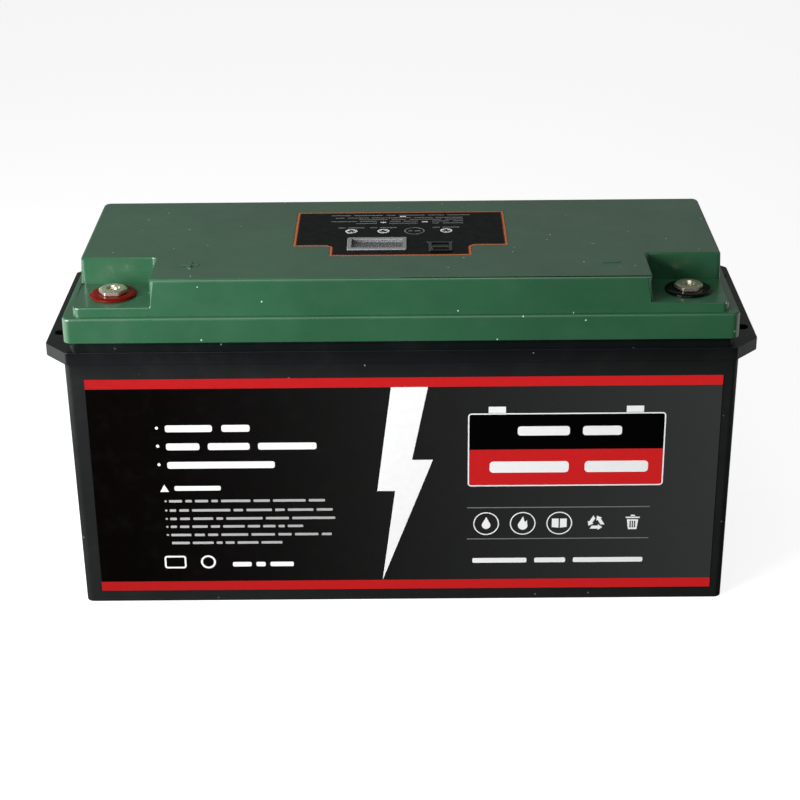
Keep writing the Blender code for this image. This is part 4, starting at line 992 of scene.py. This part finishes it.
def small_print():
    """The six lines of small print, each word a bar, with a dot before all but the last."""
    shapes = []
    rows = (
        (78.2, -54.0, (4, 2, 4, 2, 9, 5, 10, 5)),
        (70.9, -48.9, (2, 3, 12, 3, 8, 3, 8, 5)),
        (64.3, -47.3, (2, 3, 6, 2, 11, 7, 13)),
        (58.0, -69.9, (2, 3, 5, 3, 7, 4, 4, 2, 5)),
        (51.4, -50.0, (6, 3, 3, 8, 7, 4, 7, 3)),
        (45.0, -85.0, (6, 7, 2, 3, 7, 7)),
    )
    for number, (bottom, end, words) in enumerate(rows):
        if number < len(rows) - 1:
            shapes.append(disc("dot", mm(-165.4, bottom), 0.8 * MM, sides=16))
        shapes += word_bars(*mm(-163, end, bottom - 1, 1.9), words)
    return join("front_small_print", shapes)


def grey_lines():
    """The thin lines over and under the icons."""
    lines = [plate("line", mm(45, y), mm(172.7, y + 0.7)) for y in (70.9, 46.1)]
    return join("front_grey_print", lines)


def panel_face(name, inset):
    """The panel's stepped outline as one flat face, pulled forward from a wide sheet."""
    half, back = PANEL_HIGH.x + PANEL_GAP - inset, PANEL_HIGH.y + PANEL_GAP - inset
    step_x, step_y = STEP_X - inset, STEP_Y + inset
    front = PANEL_LOW.y - PANEL_GAP + inset
    obj = flat_face(name, Vector((-half, step_y)), Vector((half, back)))
    edit(obj)
    for x in (-step_x, step_x):
        pick_all()
        bpy.ops.mesh.bisect(plane_co=(x, 0, 0), plane_no=(1, 0, 0))
    pick("EDGE", lambda middle, along: abs(middle.x) < 1 * MM and middle.y < step_y + NEAR)
    bpy.ops.mesh.extrude_region_move(TRANSFORM_OT_translate={"value": (0, front - step_y, 0)})
    pick_all()
    bpy.ops.mesh.dissolve_limited(angle_limit=math.radians(5))
    pick("VERT", lambda spot, normal: abs(abs(spot.x) - step_x) < NEAR and abs(spot.y - step_y) < NEAR)
    bpy.ops.mesh.bevel(offset=4.0 * MM + inset, segments=6, affect="VERTICES")
    leave()
    return obj


def make_top_label():
    """The printed panel in the cover's shallow recess, and its print, one piece to a colour."""
    base = PANEL_FLOOR + 0.05 * MM
    sheet = thicken(panel_face("panel_sheet", PANEL_GAP), base, SHEET)
    carve(sheet, opening("window", BEZEL_LOW, BEZEL_HIGH), opening("window", HOUSING_LOW, HOUSING_HIGH))
    finish_piece(sheet, "panel", "label_print", "top_label")
    inset, line, red_line = mm(0.4, 1.5, 0.6)
    pieces = (
        (panel_band("panel_copper_line", inset, line), "copper"),
        (panel_band("panel_red_line", inset + line, red_line), "red_ring"),
        (panel_white_print(), "white"),
        (panel_grey_print(), "grey"),
    )
    for piece, finish in pieces:
        place(piece, move=(0, 0, base + SHEET))
        finish_piece(piece, finish, "label_print")


def panel_band(name, inset, width):
    """A line of the given width that follows the panel's edge."""
    outer = thicken(panel_face(name, inset), 0, INK)
    inner = thicken(panel_face("inside", inset + width), -INK, 4 * INK)
    return carve(outer, inner)


def panel_white_print():
    """Three round symbols with three spokes each, and three short dashes."""
    shapes = []
    for x in SYMBOLS_X:
        spot = mm(x, 13.5)
        shapes.append(hoop("symbol", spot, *mm(4.3, 1.3)))
        for turn in (60, 180, 300):
            spoke = plate("spoke", mm(-0.55, 1.4), mm(0.55, 3.1))
            shapes.append(place(spoke, (0, 0, math.radians(turn)), (*spot, 0)))
    for x, y in ((1.6, 44.6), (-12.4, 32.0), (17.4, 32.6)):
        shapes.append(plate("dash", mm(x - 2.2, y - 0.9), mm(x + 2.2, y + 0.9)))
    return join("panel_white_print", shapes)


def panel_grey_print():
    """A round mark, and the panel's rows of small words."""
    shapes = [hoop("mark", mm(9.9, 13.4), *mm(7.3, 0.9))]
    shapes += word_bars(*mm(5.4, 14.4, 12.9, 1.2), (3, 4))
    for x in SYMBOLS_X:
        shapes += word_bars(*mm(x - 9.5, x + 9.5, 19.9, 1.5), (3, 7))
    shapes += word_bars(*mm(18.4, 36.6, -11.0, 1.3), (2, 6, 2))
    rows = (
        (47.4, -50.0, 50.0, (6, 9, 3, 8, 5, 7)),
        (42.0, -47.0, 45.0, (3, 7, 10, 2, 6, 9)),
        (38.1, -30.0, 45.0, (8, 4, 9, 5)),
        (34.2, -50.0, -17.0, (9, 6)),
        (34.2, -8.0, 12.5, (4, 5)),
        (34.2, 22.5, 45.0, (5, 3)),
        (29.9, -32.0, -17.0, (6,)),
        (29.9, -8.0, 12.5, (7,)),
        (29.9, 22.5, 45.0, (2, 6)),
    )
    for y, left, right, words in rows:
        shapes += word_bars(*mm(left, right, y - 0.6, 1.2), words)
    return join("panel_grey_print", shapes)


# Terminals.


def make_terminal(side, name, ring_finish, ring_slot):
    """A domed collar in a recess, and the threaded post in its middle."""
    centre = (side * POST_X, POST_Y, 0)
    low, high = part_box(f"terminal_ring_{name}")
    outer, bore = (high.x - low.x) / 2, 6.4 * MM
    bottom, top = low.z, high.z
    shoulder, inwards, sink = mm(0.5, 3.4, 0.35)
    profile = [(outer - 0.4 * MM, bottom), (outer - 0.1 * MM, bottom + 0.1 * MM), (outer, bottom + shoulder)]
    steps = 8
    for step in range(1, steps + 1):
        angle = math.pi / 2 * step / steps
        across = outer - inwards * (1 - math.cos(angle))
        profile.append((across, bottom + shoulder + (top - bottom - shoulder) * math.sin(angle)))
    profile += [(10.6 * MM, top), (10.3 * MM, top - sink), (bore, top - sink), (bore, bottom)]
    ring = turned(f"{name}_collar", centre, profile, 128, bore=True)
    finish_piece(shade(ring), ring_finish, ring_slot, f"terminal_ring_{name}")
    post = make_post(f"{name}_post", centre)
    finish_piece(post, "nickel", "plated_brass", f"terminal_post_{name}")


def make_post(name, centre):
    """A hexagon head on a round shank, its top corners turned off, with a threaded hole."""
    x, y = centre[:2]
    flats, head = mm(17.4, 2.8)
    middle = (x, y, POST_TOP - head / 2)
    post = drum(name, middle, flats / math.sqrt(3), head, 6, (0, 0, math.pi / 2))
    round_edges(post, upright(), 0.9 * MM, segments=4)
    outline = ((8.9, 3.8), (10.6, 2.5), (10.6, 1.3), (9.3, 0.5), (8.1, 0.05), (7.7, 0))
    crown = [(across * MM, POST_TOP - down * MM) for across, down in outline]
    carve(post, turned("crown", centre, crown), how="INTERSECT")
    shank_top = POST_TOP - 1 * MM
    shank = drum("shank", (x, y, (POST_LOW.z + shank_top) / 2), 6 * MM, shank_top - POST_LOW.z)
    carve(post, shank, how="UNION")
    pitch, root, crest, depth = mm(1.25, 3.95, 3.4, 14)
    hole = [(crest, POST_TOP - depth)]
    for turn in range(10):
        z = POST_TOP - depth + 0.6 * MM + turn * pitch
        hole += [(crest, z), (root, z + pitch * 0.5)]
    hole += [(crest, POST_TOP - 1.25 * MM), (4.7 * MM, POST_TOP), (4.7 * MM, POST_TOP + 1 * MM)]
    carve(post, turned("thread", centre, hole, 64))
    soften(post, 0.15 * MM, 2, 50)
    return shade(post)


# Display and switch.


def framed_body(name, low, high, inset):
    """A thin frame that lies on the panel, with a narrower body under it that goes through the cover."""
    under = BLOCK_TOP - 0.05 * MM
    obj = block(name, (low.x, low.y, under), high)
    round_edges(obj, upright(), 1.1 * MM, segments=5)
    soften(obj, 0.35 * MM)
    inset = Vector((inset, inset, 0)) * MM
    body_top = Vector((high.x, high.y, under + 0.3 * MM))
    return carve(obj, block(f"{name}_body", low + inset, body_top - inset), how="UNION")


def make_display():
    """The bezel with its window, and the lens in it."""
    centre = (BEZEL_LOW + BEZEL_HIGH) / 2
    bezel = framed_body("bezel", BEZEL_LOW, BEZEL_HIGH, 1.5)
    bottom = BEZEL_LOW.z - 1 * MM
    window = slab("window", Vector((17.75, 8.9)) * MM, bottom, BEZEL_HIGH.z + 1 * MM, centre)
    round_edges(window, upright(), 0.7 * MM, segments=4)
    pocket_half = (LENS_HIGH - LENS_LOW) / 2 + Vector((0.3, 0.3, 0)) * MM
    pocket = slab("pocket", pocket_half, bottom, LENS_HIGH.z + 0.3 * MM, centre)
    carve(bezel, window, pocket)
    finish_piece(shade(bezel), "bezel", "bezel_grey", "display_bezel")
    lens = block("window_lens", LENS_LOW, LENS_HIGH)
    soften(lens, 0.15 * MM, 2)
    finish_piece(shade(lens), "lens", "display_lens", "display_lens")


def make_switch():
    """The switch's housing, with its mouth, the holes for the rocker's pins and the slots for its tabs."""
    pivot = Vector(next(joint["pos_m"] for joint in frame["joints"] if joint["name"] == "rocker_tilt"))
    housing = framed_body("switch_frame", HOUSING_LOW, HOUSING_HIGH, 1.4)
    mouth_bottom, mouth_top = HOUSING_LOW.z + 1.2 * MM, HOUSING_HIGH.z + 1 * MM
    carve(housing, slab("switch_mouth", Vector((6.0, 6.9)) * MM, mouth_bottom, mouth_top, pivot))
    carve(housing, drum("pin_hole", pivot, 1.25 * MM, 15.8 * MM, 32, ACROSS))
    for tab in ("switch_tab_pivot", "switch_tab_front"):
        tab_low, tab_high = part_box(tab)
        clear = Vector((0.25, 0.25, 0)) * MM
        carve(housing, block("tab_slot", tab_low - clear, tab_high + clear))
    finish_piece(shade(housing), "switch", "switch_black", "switch_housing")
    make_rocker(pivot)


def make_rocker(pivot):
    """A dished rocker with rounded edges, drawn level round its pivot and then tilted."""
    radius, half_width, bottom, top = mm(6.7, 5.8, -2.6, 2.9)
    rest_tilt = math.radians(-12)
    rocker = drum("rocker", (0, 0, 0), radius, 2 * half_width, 96, ACROSS)
    edit(rocker)
    for height, outwards in ((bottom, (0, 0, -1)), (top, (0, 0, 1))):
        pick_all()
        bpy.ops.mesh.bisect(plane_co=(0, 0, height), plane_no=outwards, clear_outer=True, use_fill=True)
    leave()
    dish_radius = 17.5 * MM
    dish = drum("dish", (0, 0, 1.4 * MM + dish_radius), dish_radius, 20 * MM, 160, ACROSS)
    carve(rocker, dish)
    soften(rocker, 0.8 * MM, 4, 45)
    for side in (-1, 1):
        for line in range(3):
            spot = (0, side * (4.9 - 0.9 * line) * MM, 2.45 * MM - 0.22 * MM * line)
            carve(rocker, drum("groove", spot, 0.22 * MM, 7.6 * MM, 16, ACROSS))
    pins = drum("pins", (0, 0, 0), 1.0 * MM, 13.6 * MM, 32, ACROSS)
    stem = drum("stem", (0, 0, -5.9 * MM), 1.1 * MM, 8.2 * MM, 32)
    carve(rocker, pins, stem, how="UNION")
    place(rocker, (rest_tilt, 0, 0), pivot)
    finish_piece(shade(rocker), "switch", "switch_black", "switch_rocker", body="rocker")


# Floor, light and camera.

WORLD_STRENGTH = 0.06

# Each light: its name, where it stands and points in metres, its width and height, and its watts.
LIGHTS = (
    ("key", (-0.85, -0.72, 0.5), (0, 0, 0.18), (0.7, 0.7), 22.5),
    ("back", (0, 2.0, 1.1), (0, 0, 0.24), (3.2, 1.5), 2.9),
    ("top", (-0.1, -0.6, 1.25), (0, 0, 0.24), (0.9, 0.8), 3.4),
    ("left", (-0.6, -0.05, 0.2), (-0.2, -0.05, 0.2), (0.7, 0.4), 1.8),
    ("right", (0.6, 0.05, 0.2), (0.2, 0.05, 0.2), (0.5, 0.4), 0.55),
)

CAMERA_SPOT = Vector((6.9, -1247.8, 689.1)) * MM
CAMERA_PITCH, CAMERA_YAW, CAMERA_ROLL = -0.4293, 0.0068, -0.0107  # in radians


def stage_material():
    """A nearly even pale grey, with a glow of its own and no gloss."""
    paint = Paint("pale_floor")
    cloud = paint.noise(0.4, 2)
    body = paint.mix(cloud, (0.39, 0.39, 0.395), (0.41, 0.41, 0.41))
    glow = {"Emission_Color": (1.0, 1.0, 1.0), "Emission_Strength": 0.84, "Specular_IOR_Level": 0.0}
    return paint.set(Base_Color=body, Roughness=0.8, **glow)


def make_stage():
    """A pale floor. It doesn't light the battery or show in its gloss."""
    bpy.ops.mesh.primitive_plane_add(size=60, location=(0, 0, -0.1 * MM))
    floor = settle("floor")
    floor.data.materials.append(stage_material())
    floor.visible_diffuse = False
    floor.visible_glossy = False


def area_light(name, spot, aim, size, power):
    """A rectangular light that points at its aim."""
    data = bpy.data.lights.new(name, "AREA")
    data.shape = "RECTANGLE"
    data.size, data.size_y = size
    data.energy = power
    lamp = bpy.data.objects.new(name, data)
    lamp.location = spot
    lamp.rotation_euler = (Vector(aim) - Vector(spot)).to_track_quat("-Z", "Y").to_euler()
    bpy.context.scene.collection.objects.link(lamp)


def make_light():
    """A soft key from the front left, pale panels behind and overhead, and a strip at each end."""
    world = bpy.data.worlds.new("studio")
    world.use_nodes = True
    background = world.node_tree.nodes["Background"]
    background.inputs["Color"].default_value = (1, 1, 1, 1)
    background.inputs["Strength"].default_value = WORLD_STRENGTH
    bpy.context.scene.world = world
    bpy.context.scene.view_settings.view_transform = "Standard"
    for light in LIGHTS:
        area_light(*light)


def make_camera():
    data = bpy.data.cameras.new("camera")
    data.lens = 84.5
    data.sensor_width = 36
    data.clip_start, data.clip_end = 0.05, 50
    camera = bpy.data.objects.new("camera", data)
    bpy.context.scene.collection.objects.link(camera)
    camera.matrix_world = (
        Matrix.Translation(CAMERA_SPOT)
        @ Matrix.Rotation(CAMERA_YAW, 4, "Z")
        @ Matrix.Rotation(math.pi / 2 + CAMERA_PITCH, 4, "X")
        @ Matrix.Rotation(CAMERA_ROLL, 4, "Z")
    )
    bpy.context.scene.camera = camera


make_camera()
make_light()
make_stage()
finish_inner_nodes()
make_case()
make_cover()
make_polarity_marks()
make_front_label()
make_top_label()
make_terminal(-1, "positive", "red_ring", "terminal_red")
make_terminal(1, "negative", "black_ring", "terminal_black")
make_display()
make_switch()
